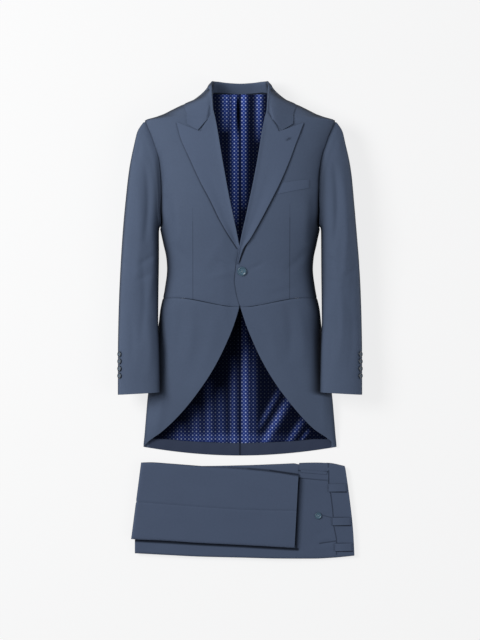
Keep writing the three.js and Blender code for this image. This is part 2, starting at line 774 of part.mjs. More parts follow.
function sleeveHalf(name, material, side, from, to) {
  const place = (u, v, face) => {
    const angle = lerp(from + SLEEVE_TRIM, to - SLEEVE_TRIM, u);
    const spot = offset(sleevePoint, v, angle, face * CLOTH, 1);
    spot.x *= side.sign;
    return spot;
  };
  const rings = [0, 0.05, 0.1, 0.17, 0.25, 0.33, 0.42, 0.5, 0.6, 0.7, 0.8, 0.9, 1];
  return mesh(name, sheet(8, rings, place), material);
}

// Buttons: a dished disc with a rim, turned on its axis

function buttonGeometry(size) {
  const r = size.radius;
  const t = size.thickness;
  const profile = [
    [0, 0], [r * 0.82, 0], [r, t * 0.35], [r, t * 0.65], [r * 0.9, t],
    [r * 0.72, t * 0.95], [r * 0.62, t * 0.62], [0, t * 0.62],
  ];
  const sides = size.radius > 10 ? 20 : 12;
  return new THREE.LatheGeometry(profile.map(([x, y]) => new THREE.Vector2(x, y)), sides);
}

function buttonAt(name, material, size, spot, normal) {
  const made = mesh(name, buttonGeometry(size), material);
  made.quaternion.setFromUnitVectors(new THREE.Vector3(0, 1, 0), normal);
  made.position.copy(spot).addScaledVector(normal, SEAM_GAP);
  return made;
}

function frontButton(name, material) {
  const tau = frontTau(FRONT_BUTTON.x, FRONT_BUTTON.y);
  const low = coatPoint(1, tau, FRONT_BUTTON.y, 0);
  const high = coatPoint(1, tau, FRONT_BUTTON.y, 1);
  return buttonAt(name, material, FRONT_BUTTON, low, high.sub(low).normalize());
}

function cuffButton(name, material, side, index) {
  const y = CUFF_BUTTON.firstY - index * CUFF_BUTTON.pitch;
  let f = 0.6;
  while (f < 1 && sleevePoint(f, CUFF_BUTTON.angle).y > y) f += 0.001;
  const low = offset(sleevePoint, f, CUFF_BUTTON.angle, 0, -1);
  const high = offset(sleevePoint, f, CUFF_BUTTON.angle, 1, -1);
  const normal = high.sub(low).normalize();
  low.x *= side.sign;
  normal.x *= side.sign;
  return buttonAt(name, material, CUFF_BUTTON, low, normal);
}

// Folded trousers

const crease = (d) => {
  const t = clamp(d / EDGE_ROUND, 0, 1);
  return EDGE_ROUND * (1 - Math.sqrt(1 - (1 - t) * (1 - t)));
};

// Height of the wearer's left leg's outer face, which sinks towards the waist
const legTop = (x) => lerp(LEG_LAYER_TOP, WAIST_TOP, smooth(120, 240, x)) + SEAM_GAP + CLOTH;

function outline(x, column) {
  return read(TROUSER_OUTLINE, "x", x, column);
}

const turnSlope = (TURN.high.x - TURN.low.x) / (TURN.high.y - TURN.low.y);

// Distance along the leg of the slanting fold at a height y, and the height at which layers end before it
const turnEdge = (y) => TURN.low.x + (y - TURN.low.y) * turnSlope;
const turnLimit = (x, inset) => TURN.low.y + (x - inset - TURN.low.x) / turnSlope;

// Hidden layers: sections along X whose edges show one round for each layer
function stack(name, material, shape) {
  const layers = shape.layers;
  const loop = (x) => {
    const [top, bottom, low, high] = shape.section(x);
    const points = [];
    const step = (high - low) / layers;
    const add = (y, z) => points.push(new THREE.Vector3(x, y, z));
    for (let i = 0; i < layers; i += 1) {
      add(bottom + 2.4, low + step * i);
      add(bottom, low + step * (i + 0.5));
    }
    add(bottom + 2.4 + shape.bevel, high);
    add(lerp(bottom, top, 0.5), high);
    add(top - 2.4 - shape.bevel, high);
    for (let i = layers - 1; i >= 0; i -= 1) {
      add(top, low + step * (i + 0.5));
      add(top - 2.4, low + step * i);
    }
    return points;
  };
  const loops = shape.stations.map(loop);
  const points = loops.flat();
  const size = loops[0].length;
  const faces = [];
  for (let k = 0; k < loops.length - 1; k += 1)
    for (let i = 0; i < size; i += 1) {
      const a = k * size + i;
      const b = k * size + ((i + 1) % size);
      faces.push([a, b, b + size], [a, b + size, a + size]);
    }
  for (const k of [0, loops.length - 1]) {
    const middle = loops[k].reduce((sum, p) => sum.add(p), new THREE.Vector3()).divideScalar(size);
    points.push(middle);
    for (let i = 0; i < size; i += 1) {
      const a = k * size + i;
      const b = k * size + ((i + 1) % size);
      faces.push(k === 0 ? [b, a, points.length - 1] : [a, b, points.length - 1]);
    }
  }
  return mesh(name, bodyOf(points, faces), material);
}

function foldedLayers(name, material) {
  return stack(name, material, {
    layers: 2,
    bevel: 6,
    stations: [-268, -264, -258, -251, -244, -200, -120, -40, 40, 120, 138, 150, 180, 205, LAYERS_END_X],
    section: (x) => {
      const end = x < -266 ? 3 : 0;
      const high = legTop(x) - CLOTH - SEAM_GAP - LEG_LAYER_SLACK;
      const under = lerp(0.8, LAYER_INSET, smooth(138, 150, x));
      const top = Math.min(outline(x, "top") - under, turnLimit(x, 7));
      return [top, outline(x, "bottom") + LAYER_INSET, end, high - end];
    },
  });
}

const topLeg = (x, column) => read(TOP_LEG, "x", x, column);

function turnedLayers(name, material) {
  return stack(name, material, {
    layers: 2,
    bevel: 5,
    stations: [-270, -266, -259, -252, -244, -190, -110, -30, 50, 100, 136],
    section: (x) => {
      const end = x < -268 ? 3 : 0;
      const low = LEG_LAYER_TOP - LEG_LAYER_SLACK + SEAM_GAP;
      const inset = 3;
      const top = Math.min(topLeg(x, "top") - inset, turnLimit(x, 7));
      const bottom = topLeg(x, "bottom") + inset;
      return [top, bottom, low + end, TURNED_TOP - end];
    },
  });
}

// A trouser panel: a sheet over x and y, whose height is given, made thick along its normal
function trouserPanel(name, material, columns, rows, spotAt, wall = CLOTH) {
  const surface = (u, v) => spotAt(clamp(u, 0, 1), clamp(v, 0, 1));
  const near = (u, v, face) => {
    const inU = clamp(u, 0.0005, 0.9995);
    const inV = clamp(v, 0.0005, 0.9995);
    const step = 0.0004;
    const along = surface(inU + step, inV).sub(surface(inU - step, inV));
    const across = surface(inU, inV + step).sub(surface(inU, inV - step));
    const normal = along.cross(across).normalize();
    if (normal.z < 0) normal.negate();
    return surface(u, v).addScaledVector(normal, -face * wall);
  };
  return mesh(name, sheet(columns, rows, near), material);
}

const creaseRows = [0, 0.012, 0.035, 0.08, 0.3, 0.55, 0.8, 1];
const xStations = (from, to, list) => list.map((x) => clamp((x - from) / (to - from), 0, 1));

const SEAM_FROM_X = 151.5; // where the side seam comes out from under the turned-back hem

const sideSeam = (x) =>
  lerp(SIDE_SEAM[0].y, SIDE_SEAM[1].y, (x - SIDE_SEAM[0].x) / (SIDE_SEAM[1].x - SIDE_SEAM[0].x));

// Distance along the leg at share u from the hem to the waistband, at a height y
const towardsBand = (u, y) => lerp(SEAM_FROM_X, read(BAND_INNER, "y", y, "x") - SEAM_GAP, u);

function leftLegBack(name, material) {
  const from = -269;
  const to = 246;
  const stations = [-269, -266, -200, -110, -20, 70, 130, 139.5, SEAM_FROM_X, 180, 212, 246];
  const columns = xStations(from, to, stations);
  return trouserPanel(name, material, columns, creaseRows, (u, v) => {
    let x = lerp(from, to, u);
    const under = topLeg(x, "bottom") - 0.6;
    const rise = smooth(141, SEAM_FROM_X, x);
    let y = lerp(outline(x, "bottom"), lerp(under, sideSeam(x) - SEAM_GAP, rise), v);
    if (x > SEAM_FROM_X) {
      x = towardsBand((x - SEAM_FROM_X) / (to - SEAM_FROM_X), y);
      y = lerp(outline(x, "bottom"), sideSeam(x) - SEAM_GAP, v);
    }
    const ends = crease(y - outline(x, "bottom")) + crease((x - from) * 2) * 0.6;
    return new THREE.Vector3(x, y, legTop(x) - Math.min(ends, EDGE_ROUND));
  });
}

function leftLegFront(name, material) {
  const rows = [0, 0.4, 0.7, 0.86, 0.94, 0.98, 1];
  return trouserPanel(name, material, 5, rows, (u, v) => {
    const near = lerp(SEAM_FROM_X, 228, u);
    const y = lerp(sideSeam(near) + SEAM_GAP, outline(near, "top"), v);
    const x = towardsBand(u, y);
    const exact = lerp(sideSeam(x) + SEAM_GAP, outline(x, "top"), v);
    return new THREE.Vector3(x, exact, legTop(x) - crease(outline(x, "top") - exact));
  });
}

function rightLegPanel(name, material, upper) {
  const from = -278;
  const to = 144;
  const stations = [-278, -277.4, -275.5, -270, -230, -160, -90, -10, 60, 110, 144];
  const columns = xStations(from, to, stations);
  const height = TURNED_TOP + SEAM_GAP + CLOTH;
  return trouserPanel(name, material, columns, creaseRows, (u, v) => {
    const x = lerp(from, to, u);
    const seam = topLeg(x, "seam") + (upper ? SEAM_GAP / 2 : -SEAM_GAP / 2);
    const edge = topLeg(x, upper ? "top" : "bottom");
    const y = lerp(edge, seam, v);
    const lean = smooth(60, 144, x) * HEM_SLANT * (y - topLeg(x, "seam"));
    const turned = (1 - u) * (turnEdge(y) - from);
    const drop = Math.max(crease(Math.abs(y - edge)), crease(x - from));
    return new THREE.Vector3(x + lean + turned, y, height - drop);
  });
}

function waistband(name, material, under) {
  const rows = under ? evenly(8) : [0, 0.006, 0.02, 0.05, 0.2, 0.4, 0.6, 0.8, 0.95, 0.98, 0.994, 1];
  const height = under ? BAND : legTop(260) + 0.6;
  return trouserPanel(
    name,
    material,
    3,
    rows,
    (u, v) => {
      const seam = read(BAND_INNER, "y", lerp(-604, -369, v), "x");
      const inner = under ? LAYERS_END_X + SEAM_GAP : seam;
      const outer = read(BAND_OUTER, "y", lerp(-604, -375, v), "x");
      const x = lerp(inner, outer, u);
      const bottom = outline(x, "bottom");
      const top = outline(x, "top");
      const y = lerp(bottom, top, v);
      const drop = under ? 0 : Math.max(crease(top - y), crease(y - bottom)) * 0.8;
      return new THREE.Vector3(x, y, height - drop);
    },
    BAND,
  );
}

// A strip along a straight line on the trousers: a belt loop or a pocket edge
function strip(name, material, start, end, width, height, wall) {
  const along = new THREE.Vector2(end.x - start.x, end.y - start.y);
  const across = new THREE.Vector2(-along.y, along.x).normalize().multiplyScalar(width);
  return trouserPanel(
    name,
    material,
    4,
    1,
    (u, v) => {
      const x = lerp(start.x, end.x, u) + across.x * (v - 0.5);
      const y = lerp(start.y, end.y, u) + across.y * (v - 0.5);
      return new THREE.Vector3(x, y, height(x, u));
    },
    wall,
  );
}

function beltLoop(name, material, loop) {
  const inner = read(BAND_INNER, "y", loop.y, "x");
  const outer = read(BAND_OUTER, "y", loop.y, "x");
  const start = { x: inner - 5, y: loop.y };
  const end = { x: outer - 3, y: loop.y + 1 };
  const bed = legTop(260) + 0.6 + SEAM_GAP;
  const height = (x, u) => bed + 1.5 + 2.2 * Math.sin(Math.PI * clamp(u, 0, 1));
  return strip(name, material, start, end, loop.width, height, 1.5);
}

function sidePocket(name, material) {
  const { start, end, width, wall } = SIDE_POCKET;
  return strip(name, material, start, end, width, (x) => legTop(x) + SEAM_GAP + wall, wall);
}

function pocketButton(name, material) {
  const spot = new THREE.Vector3(POCKET_BUTTON.x, POCKET_BUTTON.y, legTop(POCKET_BUTTON.x) + 0.3);
  return buttonAt(name, material, POCKET_BUTTON, spot, new THREE.Vector3(0, 0, 1));
}

// Materials

const finish = (color, roughness) => () =>
  new THREE.MeshStandardMaterial({ color, roughness, metalness: 0 });
const worsted = finish(0x515f77, 0.85);
const liningTwill = finish(0x26355f, 0.5);
const horn = finish(0x4a6372, 0.3);

// The suit

function coat() {
  const group = new THREE.Group();
  group.name = "coat";
  for (const side of [WEARER_RIGHT, WEARER_LEFT]) {
    const hand = side.under ? "right" : "left";
    group.add(front(`front_${hand}`, worsted(), side));
    group.add(sideBody(`side_body_${hand}`, worsted(), side));
    group.add(back(`back_${hand}`, worsted(), side));
    group.add(skirt(`skirt_${hand}`, worsted(), side));
    group.add(lapel(`lapel_${hand}`, worsted(), side));
    group.add(sleeveHalf(`top_sleeve_${hand}`, worsted(), side, 0, Math.PI));
    group.add(sleeveHalf(`under_sleeve_${hand}`, worsted(), side, -Math.PI, 0));
    group.add(backLining(`back_lining_${hand}`, liningTwill(), side));
    group.add(tailLining(`tail_lining_${hand}`, liningTwill(), side));
    group.add(hemFacing(`hem_facing_${hand}`, worsted(), side));
    for (let i = 0; i < CUFF_BUTTON.count; i += 1)
      group.add(cuffButton(`cuff_button_${hand}_${i + 1}`, horn(), side, i));
  }
  group.add(collar("collar", worsted()));
  group.add(welt("breast_welt", worsted(), WEARER_LEFT));
  group.add(frontButton("front_button", horn()));
  return group;
}

function trousers() {
  const group = new THREE.Group();
  group.name = "trousers";
  group.add(foldedLayers("folded_layers", worsted()));
  group.add(turnedLayers("turned_layers", worsted()));
  group.add(leftLegBack("left_leg_back", worsted()));
  group.add(leftLegFront("left_leg_front", worsted()));
  group.add(rightLegPanel("right_leg_front", worsted(), true));
  group.add(rightLegPanel("right_leg_back", worsted(), false));
  group.add(waistband("waistband", worsted(), false));
  group.add(waistband("waistband_under", worsted(), true));
  BELT_LOOPS.forEach((loop, i) => group.add(beltLoop(`belt_loop_${i + 1}`, worsted(), loop)));
  group.add(sidePocket("side_pocket_edge", worsted()));
  group.add(pocketButton("pocket_button", horn()));
  return group;
}

const suit = new THREE.Group();
suit.name = "suit";
suit.add(coat(), trousers());

export default suit;
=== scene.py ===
"""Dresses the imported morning-coat suit: fine cloth shells, lining, buttons, folded trousers, floor and light.

Lengths in the tables are millimetres in the row frame: X to the wearer's left, Y towards the collar and Z up
from the surface that the suit lies on. Meshes are made in metres.
"""

import logging
from collections.abc import Callable, Sequence
from dataclasses import dataclass
from enum import Enum
from typing import NamedTuple

import bpy
import numpy as np
from mathutils import Matrix, Vector


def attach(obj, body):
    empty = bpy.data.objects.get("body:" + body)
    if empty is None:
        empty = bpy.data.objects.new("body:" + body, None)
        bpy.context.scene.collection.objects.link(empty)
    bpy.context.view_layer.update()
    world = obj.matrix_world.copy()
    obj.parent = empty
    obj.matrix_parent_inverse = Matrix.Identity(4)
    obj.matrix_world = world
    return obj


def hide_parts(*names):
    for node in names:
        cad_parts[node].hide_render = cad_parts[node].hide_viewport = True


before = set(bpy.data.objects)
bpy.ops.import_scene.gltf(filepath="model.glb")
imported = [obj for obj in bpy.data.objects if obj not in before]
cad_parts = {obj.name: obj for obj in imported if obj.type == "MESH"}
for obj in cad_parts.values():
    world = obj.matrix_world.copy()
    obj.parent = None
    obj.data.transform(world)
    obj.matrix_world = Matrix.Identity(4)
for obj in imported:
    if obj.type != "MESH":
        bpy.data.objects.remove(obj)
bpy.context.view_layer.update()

log = logging.getLogger("suit")

MM = 0.001
CLOTH = 2.0  # worsted with its interlining
LINING = 1.0
SEAM_GAP = 0.3
BODY = "root"
LEAST_CUT = 0.0101  # metres; the least side of a sheet that the frame takes
LEAST_SHARE = 0.301  # the least share of its rectangle that a cut fills

Array = np.ndarray
Tree = bpy.types.NodeTree
Socket = bpy.types.NodeSocket
Material = bpy.types.Material
Mesh = bpy.types.Mesh
Object = bpy.types.Object
Pair = tuple[float, float]
Triple = tuple[float, float, float]
Profile = Callable[[Array], Array]
Surface = Callable[[Array, Array], Array]


# Curves through tables


@dataclass(frozen=True)
class Curve:
    """A smooth curve through a table's rows, with no overshoot between them."""

    at: tuple[float, ...]
    value: tuple[float, ...]

    def __call__(self, x: Array | float) -> Array:
        """The curve's value at x, held level past its ends."""
        at, value = np.asarray(self.at, float), np.asarray(self.value, float)
        x = np.clip(np.asarray(x, float), at[0], at[-1])
        i = np.clip(np.searchsorted(at, x) - 1, 0, len(at) - 2)
        slope = np.diff(value) / np.diff(at)
        before, after = slope[:-1], slope[1:]
        total = np.where(before + after == 0, 1, before + after)
        inner = np.where(before * after <= 0, 0, 2 * before * after / total)
        tangent = np.concatenate(([slope[0]], inner, [slope[-1]]))
        span = at[i + 1] - at[i]
        t = (x - at[i]) / span
        bend = (t - 1) ** 2 * t * span * tangent[i] + (t - 1) * t**2 * span * tangent[i + 1]
        return value[i] + (value[i + 1] - value[i]) * t * t * (3 - 2 * t) + bend


class Spot(NamedTuple):
    """A height on the coat and the distance of an edge from its centre line."""

    y: float
    x: float


def edge(*rows: Pair) -> Curve:
    """The curve of an edge, from rows of a height on the coat and the distance from its centre line."""
    return Curve(*zip(*rows))


def table_of(kind: type, *rows: tuple[float, ...]) -> tuple:
    """Named rows from plain ones."""
    return tuple(kind(*row) for row in rows)


def lerp(a: Array | float, b: Array | float, t: Array | float) -> Array:
    """The value a share t of the way from a to b."""
    return a + (b - a) * np.asarray(t, float)


def smooth(start: float, end: float, x: Array | float) -> Array:
    """0 before start, 1 past end and a soft step between."""
    t = np.clip((np.asarray(x, float) - start) / (end - start), 0, 1)
    return t * t * (3 - 2 * t)


def bell(x: Array | float, width: float | Array) -> Array:
    """1 at 0, falling softly to both sides."""
    return np.exp(-((x / width) ** 2))


def within(x: Array, start: float, full: float, fading: float, end: float) -> Array:
    """1 between full and fading, with soft steps down to 0 at start and end."""
    return smooth(start, full, x) * (1 - smooth(fading, end, x))


def unit(vectors: Array) -> Array:
    """The vectors, each at length 1."""
    return vectors / np.maximum(np.linalg.norm(vectors, axis=-1, keepdims=True), 1e-9)


def link(name: str, mesh: Mesh) -> Object:
    """Puts a mesh into the scene, at the origin."""
    made = bpy.data.objects.new(name, mesh)
    bpy.context.scene.collection.objects.link(made)
    return made


# The hollow form of the coat


class Section(NamedTuple):
    """One section of the coat: its half width, crown, height of the widest line and rounding at the back."""

    y: float
    half: float
    crown: float
    side: float
    round: float


@dataclass(frozen=True)
class CoatForm:
    """The coat's surface: tau is 0 at the centre front, 1 at the widest line, 2 on the table, 3 behind."""

    sections: tuple[Section, ...] = table_of(
        Section,
        (-349, 247.5, 9, 5, 14), (-321, 247, 15, 7, 16), (-300, 245, 25, 9, 20), (-260, 241.5, 41, 12, 26),
        (-188, 235, 60, 15, 32), (-130, 227, 67, 16, 36), (-60, 215, 78, 20, 40), (-4, 207, 90, 30, 44),
        (25, 203, 96, 38, 46), (76, 192, 106, 46, 48), (130, 185.5, 117, 54, 48), (155, 187, 123, 57, 48),
        (193, 195, 132, 60, 46), (235, 204, 142, 62, 44), (277, 211, 148, 62, 42), (332, 213, 150, 62, 42),
        (400, 218, 147, 62, 44), (455, 231, 139, 62, 56), (503, 243, 126, 62, 90), (518, 200, 120, 61, 86),
        (533, 170, 113, 60, 78), (542, 152, 107, 59, 70), (551, 130, 102, 59, 64), (565, 98, 93, 58, 56),
        (582, 76, 80, 56, 50),
    )
    lift: Curve = Curve((520, 556, 600), (0, 3.4, 3.4))  # where the collar lies under the back
    power: float = 3.0
    armhole_top: float = 503
    armhole_bottom: float = 235
    front_depth: float = 12
    back_depth: float = 14

    def read(self, column: str, y: Array | float) -> Array:
        """One column of the sections at height y."""
        return Curve(tuple(s.y for s in self.sections), tuple(getattr(s, column) for s in self.sections))(y)

    def point(self, tau: Array, y: Array) -> Array:
        """The point at tau and height y on the wearer's left."""
        tau, y = np.broadcast_arrays(np.asarray(tau, float), np.asarray(y, float))
        half, crown, side, rnd = (self.read(c, y) for c in ("half", "crown", "side", "round"))
        lift, flat = self.lift(y), half - rnd
        a, b = tau * np.pi / 2, (tau - 1) * np.pi / 2
        front_x = np.sign(tau) * half * np.abs(np.sin(a)) ** (2 / self.power)
        x = np.where(tau <= 1, front_x, np.where(tau <= 2, flat + rnd * np.cos(b), flat * (3 - tau)))
        curl = side + (lift - side) * np.sin(b)
        z = np.where(tau <= 1, side + (crown - side) * np.cos(a), np.where(tau <= 2, curl, lift))
        return np.stack((x, y, z), -1)

    def front_tau(self, x: Array, y: Array) -> Array:
        """tau on the front at a distance x from the centre line."""
        reach = np.clip(np.abs(x) / self.read("half", y), 0, 1)
        return np.sign(x) * np.arcsin(reach ** (self.power / 2)) * 2 / np.pi

    def back_tau(self, x: Array, y: Array) -> Array:
        """tau on the back at a distance x from the centre line."""
        rnd = self.read("round", y)
        flat = self.read("half", y) - rnd
        curl = 1 + np.arccos(np.clip((x - flat) / rnd, 0, 1)) * 2 / np.pi
        return np.where(x <= flat, 3 - x / flat, curl)

    def cut(self, y: Array) -> Array:
        """How deep the armhole cuts in at height y, from 0 to 1."""
        share = np.clip((y - self.armhole_bottom) / (self.armhole_top - self.armhole_bottom), 0, 1)
        return np.sqrt(np.clip(np.sin(np.pi * share), 0, 1))

    def armhole_front(self, y: Array) -> Array:
        """tau of the armhole's front edge, or of the side seam below it."""
        return self.front_tau(self.read("half", y) - self.front_depth * self.cut(y), y)

    def armhole_back(self, y: Array) -> Array:
        """tau of the armhole's back edge."""
        return self.back_tau(self.read("half", y) - self.back_depth * self.cut(y), y)

    def along(self, y: Array, start: Array, end: Array, share: Array) -> tuple[Array, Array]:
        """Goes a share of the way along a section, measured on the cloth, with the seam gap left at its ends.

        Args:
            y: heights of the points.
            start, end: tau of the section's ends at those heights.
            share: how far along each point lies.

        Returns:
            tau of each point, and the length of its section in millimetres.
        """
        t = np.linspace(0, 1, 33)
        taus = start[..., None] * (1 - t) + end[..., None] * t
        spots = self.point(taus, y[..., None])
        steps = np.linalg.norm(np.diff(spots, axis=-2), axis=-1)
        lengths = np.concatenate((np.zeros_like(steps[..., :1]), np.cumsum(steps, -1)), -1)
        whole = lengths[..., -1]
        low = np.minimum(SEAM_GAP / 2, whole / 3)
        wanted = lerp(low, whole - low, share)
        i = np.clip((lengths < wanted[..., None]).sum(-1), 1, len(t) - 1)[..., None]
        before, after = np.take_along_axis(lengths, i - 1, -1), np.take_along_axis(lengths, i, -1)
        part = (wanted[..., None] - before) / np.maximum(after - before, 1e-9)
        tau = lerp(np.take_along_axis(taus, i - 1, -1), np.take_along_axis(taus, i, -1), part)
        return tau[..., 0], whole

    def place(self, hand: int, tau: Array, y: Array, out: Array | float) -> Array:
        """The point at tau and y, moved out along the coat's normal, on the side that hand gives."""
        around = self.point(tau + 0.004, y) - self.point(tau - 0.004, y)
        up = self.point(tau, y + 0.4) - self.point(tau, y - 0.4)
        normal = unit(np.cross(around, up))
        spot = self.point(tau, y) + normal * np.broadcast_to(out, np.shape(tau))[..., None]
        spot[..., 0] *= hand
        return spot


FORM = CoatForm()


@dataclass(frozen=True)
class Fold:
    """A soft ridge, or a trough where its height is negative, along a line on the laid garment."""

    start: Pair
    end: Pair
    height: float
    width: float
    bow: float = 0.04  # how far the line bends aside, in shares of its length

    def rise(self, x: Array, y: Array) -> Array:
        """How far the fold lifts the cloth at x and y."""
        dx, dy = self.end[0] - self.start[0], self.end[1] - self.start[1]
        length = float(np.hypot(dx, dy))
        along = ((x - self.start[0]) * dx + (y - self.start[1]) * dy) / length**2
        bow = self.bow * length * np.sin(np.pi * np.clip(along, 0, 1))
        across = ((x - self.start[0]) * dy - (y - self.start[1]) * dx) / length + bow
        fade = np.sin(np.pi * np.clip(along, 0, 1)) ** 0.7
        return self.height * fade * bell(across, self.width)


@dataclass(frozen=True)
class Light(Fold):
    """Light on a lining along a straight fold; its height is a share of full light."""

    bow: float = 0.0


def rows_of(kind: type[Fold], *rows: tuple[float, ...]) -> tuple[Fold, ...]:
    """Folds from rows of start x and y, end x and y, height, width and, where it isn't the usual one, bow."""
    return tuple(kind(row[:2], row[2:4], *row[4:]) for row in rows)


def folded(folds: tuple[Fold, ...], x: Array, y: Array) -> Array:
    """The rise of all folds together at x and y."""
    total = np.zeros(np.broadcast(x, y).shape)
    for fold in folds:
        total = total + fold.rise(x, y)
    return total


# Finishes


def linear(code: str, alpha: float = 1.0) -> tuple[float, float, float, float]:
    """Turns an sRGB hex colour into linear values."""
    parts = [int(code[i : i + 2], 16) / 255 for i in (1, 3, 5)]
    r, g, b = (p / 12.92 if p <= 0.04045 else ((p + 0.055) / 1.055) ** 2.4 for p in parts)
    return (r, g, b, alpha)


def add(tree: Tree, kind: str, inputs: dict | None = None, **settings: object) -> bpy.types.Node:
    """Adds a node with its settings, values and links.

    Args:
        tree: the node tree that it goes into.
        kind: the node's type.
        inputs: a value or an output socket for each input, by its name or index.
        settings: the node's own properties.

    Returns:
        The new node.
    """
    made = tree.nodes.new(kind)
    for name, value in settings.items():
        setattr(made, name, value)
    for key, value in (inputs or {}).items():
        if isinstance(value, Socket):
            tree.links.new(value, made.inputs[key])
        else:
            made.inputs[key].default_value = value
    return made


def start_material(name: str) -> tuple[Material, Tree]:
    """An empty node material."""
    made = bpy.data.materials.new(name)
    made.use_nodes = True
    made.node_tree.nodes.clear()
    return made, made.node_tree


class Line(NamedTuple):
    """Either a sewn line or a line of painted shade, where a crease holds shade or an edge throws its shadow,
    by its ends on the laid suit.
    """

    start: Pair
    end: Pair
    half_width: float = 1.2
    shade: float = 0.7


def chain(spots: Sequence[Pair], half_width: float, shades: Pair) -> tuple[Line, ...]:
    """Lines from spot to spot, whose shade goes evenly from the first value to the second."""
    steps = np.linspace(*shades, max(2, len(spots) - 1))
    return tuple(Line(a, b, half_width, float(s)) for a, b, s in zip(spots, spots[1:], steps))


def mixed(tree: Tree, share: object, low: object, high: object) -> Socket:
    """A colour that goes from low to high with share."""
    return add(tree, "ShaderNodeMix", {0: share, 6: low, 7: high}, data_type="RGBA").outputs[2]


def reckon(tree: Tree, operation: str, *values: object) -> Socket:
    """The result of a sum in the tree."""
    return add(tree, "ShaderNodeMath", dict(enumerate(values)), operation=operation).outputs[0]


def reckon_vector(tree: Tree, operation: str, *values: object) -> Socket:
    """The result of a sum of vectors in the tree."""
    return add(tree, "ShaderNodeVectorMath", dict(enumerate(values)), operation=operation).outputs[0]


def light_on(tree: Tree) -> Socket:
    """How open to the light the surface lies, as noted on its vertices."""
    return add(tree, "ShaderNodeAttribute", attribute_name="lit").outputs["Fac"]


def finish_material(tree: Tree, skin: dict[str, object]) -> None:
    """Ends the tree in a principled shader with these inputs."""
    bsdf = add(tree, "ShaderNodeBsdfPrincipled", skin)
    add(tree, "ShaderNodeOutputMaterial", {0: bsdf.outputs[0]})


@dataclass(frozen=True)
class WorstedWool:
    """Clear-finished wool worsted: a smooth matt twill, so it takes soft light with hardly any gloss."""

    name: str = "wool_worsted_slate"
    colour: str = "#5e6d87"
    deep: str = "#556279"
    # colour of the sewn lines, and of the lines of painted shade where an edge throws its shadow
    line_colour: str = "#1c2433"
    hollow: str = "#0a0f18"  # painted shade, where little light comes in
    turned: str = "#060a12"  # painted shade, where the cloth turns away from the view
    graze: float = 0.85
    graze_from: float = 0.34
    graze_to: float = 0.93
    roughness: float = 0.8
    gloss: float = 0.22
    twill_mm: float = 1.5  # real twill lines are 0.5 mm apart, drawn coarser to show in close views
    twill_height_mm: float = 0.08
    line_depth: float = -3.0  # of a sewn line, in heights of the twill
    fine_mm: float = 6.0  # unevenness of the dye
    broad_mm: float = 90.0
    lines: tuple[Line, ...] = ()

    def build(self) -> Material:
        """Makes the material."""
        made, tree = start_material(self.name)
        at = add(tree, "ShaderNodeTexCoord").outputs
        split = add(tree, "ShaderNodeSeparateXYZ", {0: at["UV"]}).outputs
        slant = reckon(tree, "ADD", split[0], split[1])
        height = reckon(tree, "SINE", reckon(tree, "MULTIPLY", slant, 2 * np.pi / (self.twill_mm * MM)))
        fine = {"Vector": at["UV"], "Scale": 1 / (self.fine_mm * MM), "Detail": 3.0}
        broad = {"Vector": at["Object"], "Scale": 1 / (self.broad_mm * MM), "Detail": 2.0}
        spots = (add(tree, "ShaderNodeTexNoise", kind).outputs["Fac"] for kind in (fine, broad))
        half = reckon(tree, "MULTIPLY", reckon(tree, "ADD", *spots), 0.5)
        colour = mixed(tree, half, linear(self.deep), linear(self.colour))
        if self.lines:
            # The lines darken the colour: sewn lines, and painted shadows that edges throw
            seam = self.sewn(tree, at["Object"])
            colour = mixed(tree, seam, colour, linear(self.line_colour))
            height = reckon(tree, "ADD", height, reckon(tree, "MULTIPLY", seam, self.line_depth))
        # Painted shade: the colour goes towards hollow where the vertices note little light, and darker still
        # where the surface turns away from the view
        colour = self.grazed(tree, mixed(tree, light_on(tree), linear(self.hollow), colour))
        bump = {"Height": height, "Strength": 0.35, "Distance": self.twill_height_mm * MM}
        normal = add(tree, "ShaderNodeBump", bump).outputs[0]
        skin = {"Base Color": colour, "Roughness": self.roughness, "Normal": normal}
        finish_material(tree, skin | {"Specular IOR Level": self.gloss})
        return made

    def grazed(self, tree: Tree, colour: Socket) -> Socket:
        """Painted shade: darkens the cloth where its surface turns away from the view, as sides that round away
        lie in shade.
        """
        facing = add(tree, "ShaderNodeLayerWeight", {"Blend": 0.5}).outputs["Facing"]
        ends = {0: facing, 1: self.graze_from, 2: self.graze_to, 3: 0.0, 4: self.graze}
        share = add(tree, "ShaderNodeMapRange", ends, interpolation_type="SMOOTHSTEP").outputs[0]
        return mixed(tree, share, colour, linear(self.turned))

    def sewn(self, tree: Tree, place: Socket) -> Socket:
        """A mask of the sewn lines and of the lines of painted shade, a little wider than thread so that they
        show.
        """
        flat = reckon_vector(tree, "MULTIPLY", place, (1, 1, 0))
        masks = [self.line_mask(tree, flat, line) for line in self.lines]
        total = masks[0]
        for mask in masks[1:]:
            total = reckon(tree, "MAXIMUM", total, mask)
        return total

    def line_mask(self, tree: Tree, flat: Socket, line: Line) -> Socket:
        """A mask of one line, soft at its sides."""
        start = (line.start[0] * MM, line.start[1] * MM, 0)
        run = ((line.end[0] - line.start[0]) * MM, (line.end[1] - line.start[1]) * MM, 0)
        away = reckon_vector(tree, "SUBTRACT", flat, start)
        along = add(tree, "ShaderNodeVectorMath", {0: away, 1: run}, operation="DOT_PRODUCT").outputs["Value"]
        part = {0: along, 1: 1 / (run[0] ** 2 + run[1] ** 2)}
        share = add(tree, "ShaderNodeMath", part, operation="MULTIPLY", use_clamp=True).outputs[0]
        near = add(tree, "ShaderNodeVectorMath", {0: run, "Scale": share}, operation="SCALE").outputs[0]
        gap = add(tree, "ShaderNodeVectorMath", {0: away, 1: near}, operation="DISTANCE").outputs["Value"]
        ends = {0: gap, 1: line.half_width * 1.6 * MM, 2: line.half_width * 0.3 * MM, 3: 0.0, 4: line.shade}
        return add(tree, "ShaderNodeMapRange", ends, interpolation_type="SMOOTHSTEP").outputs[0]


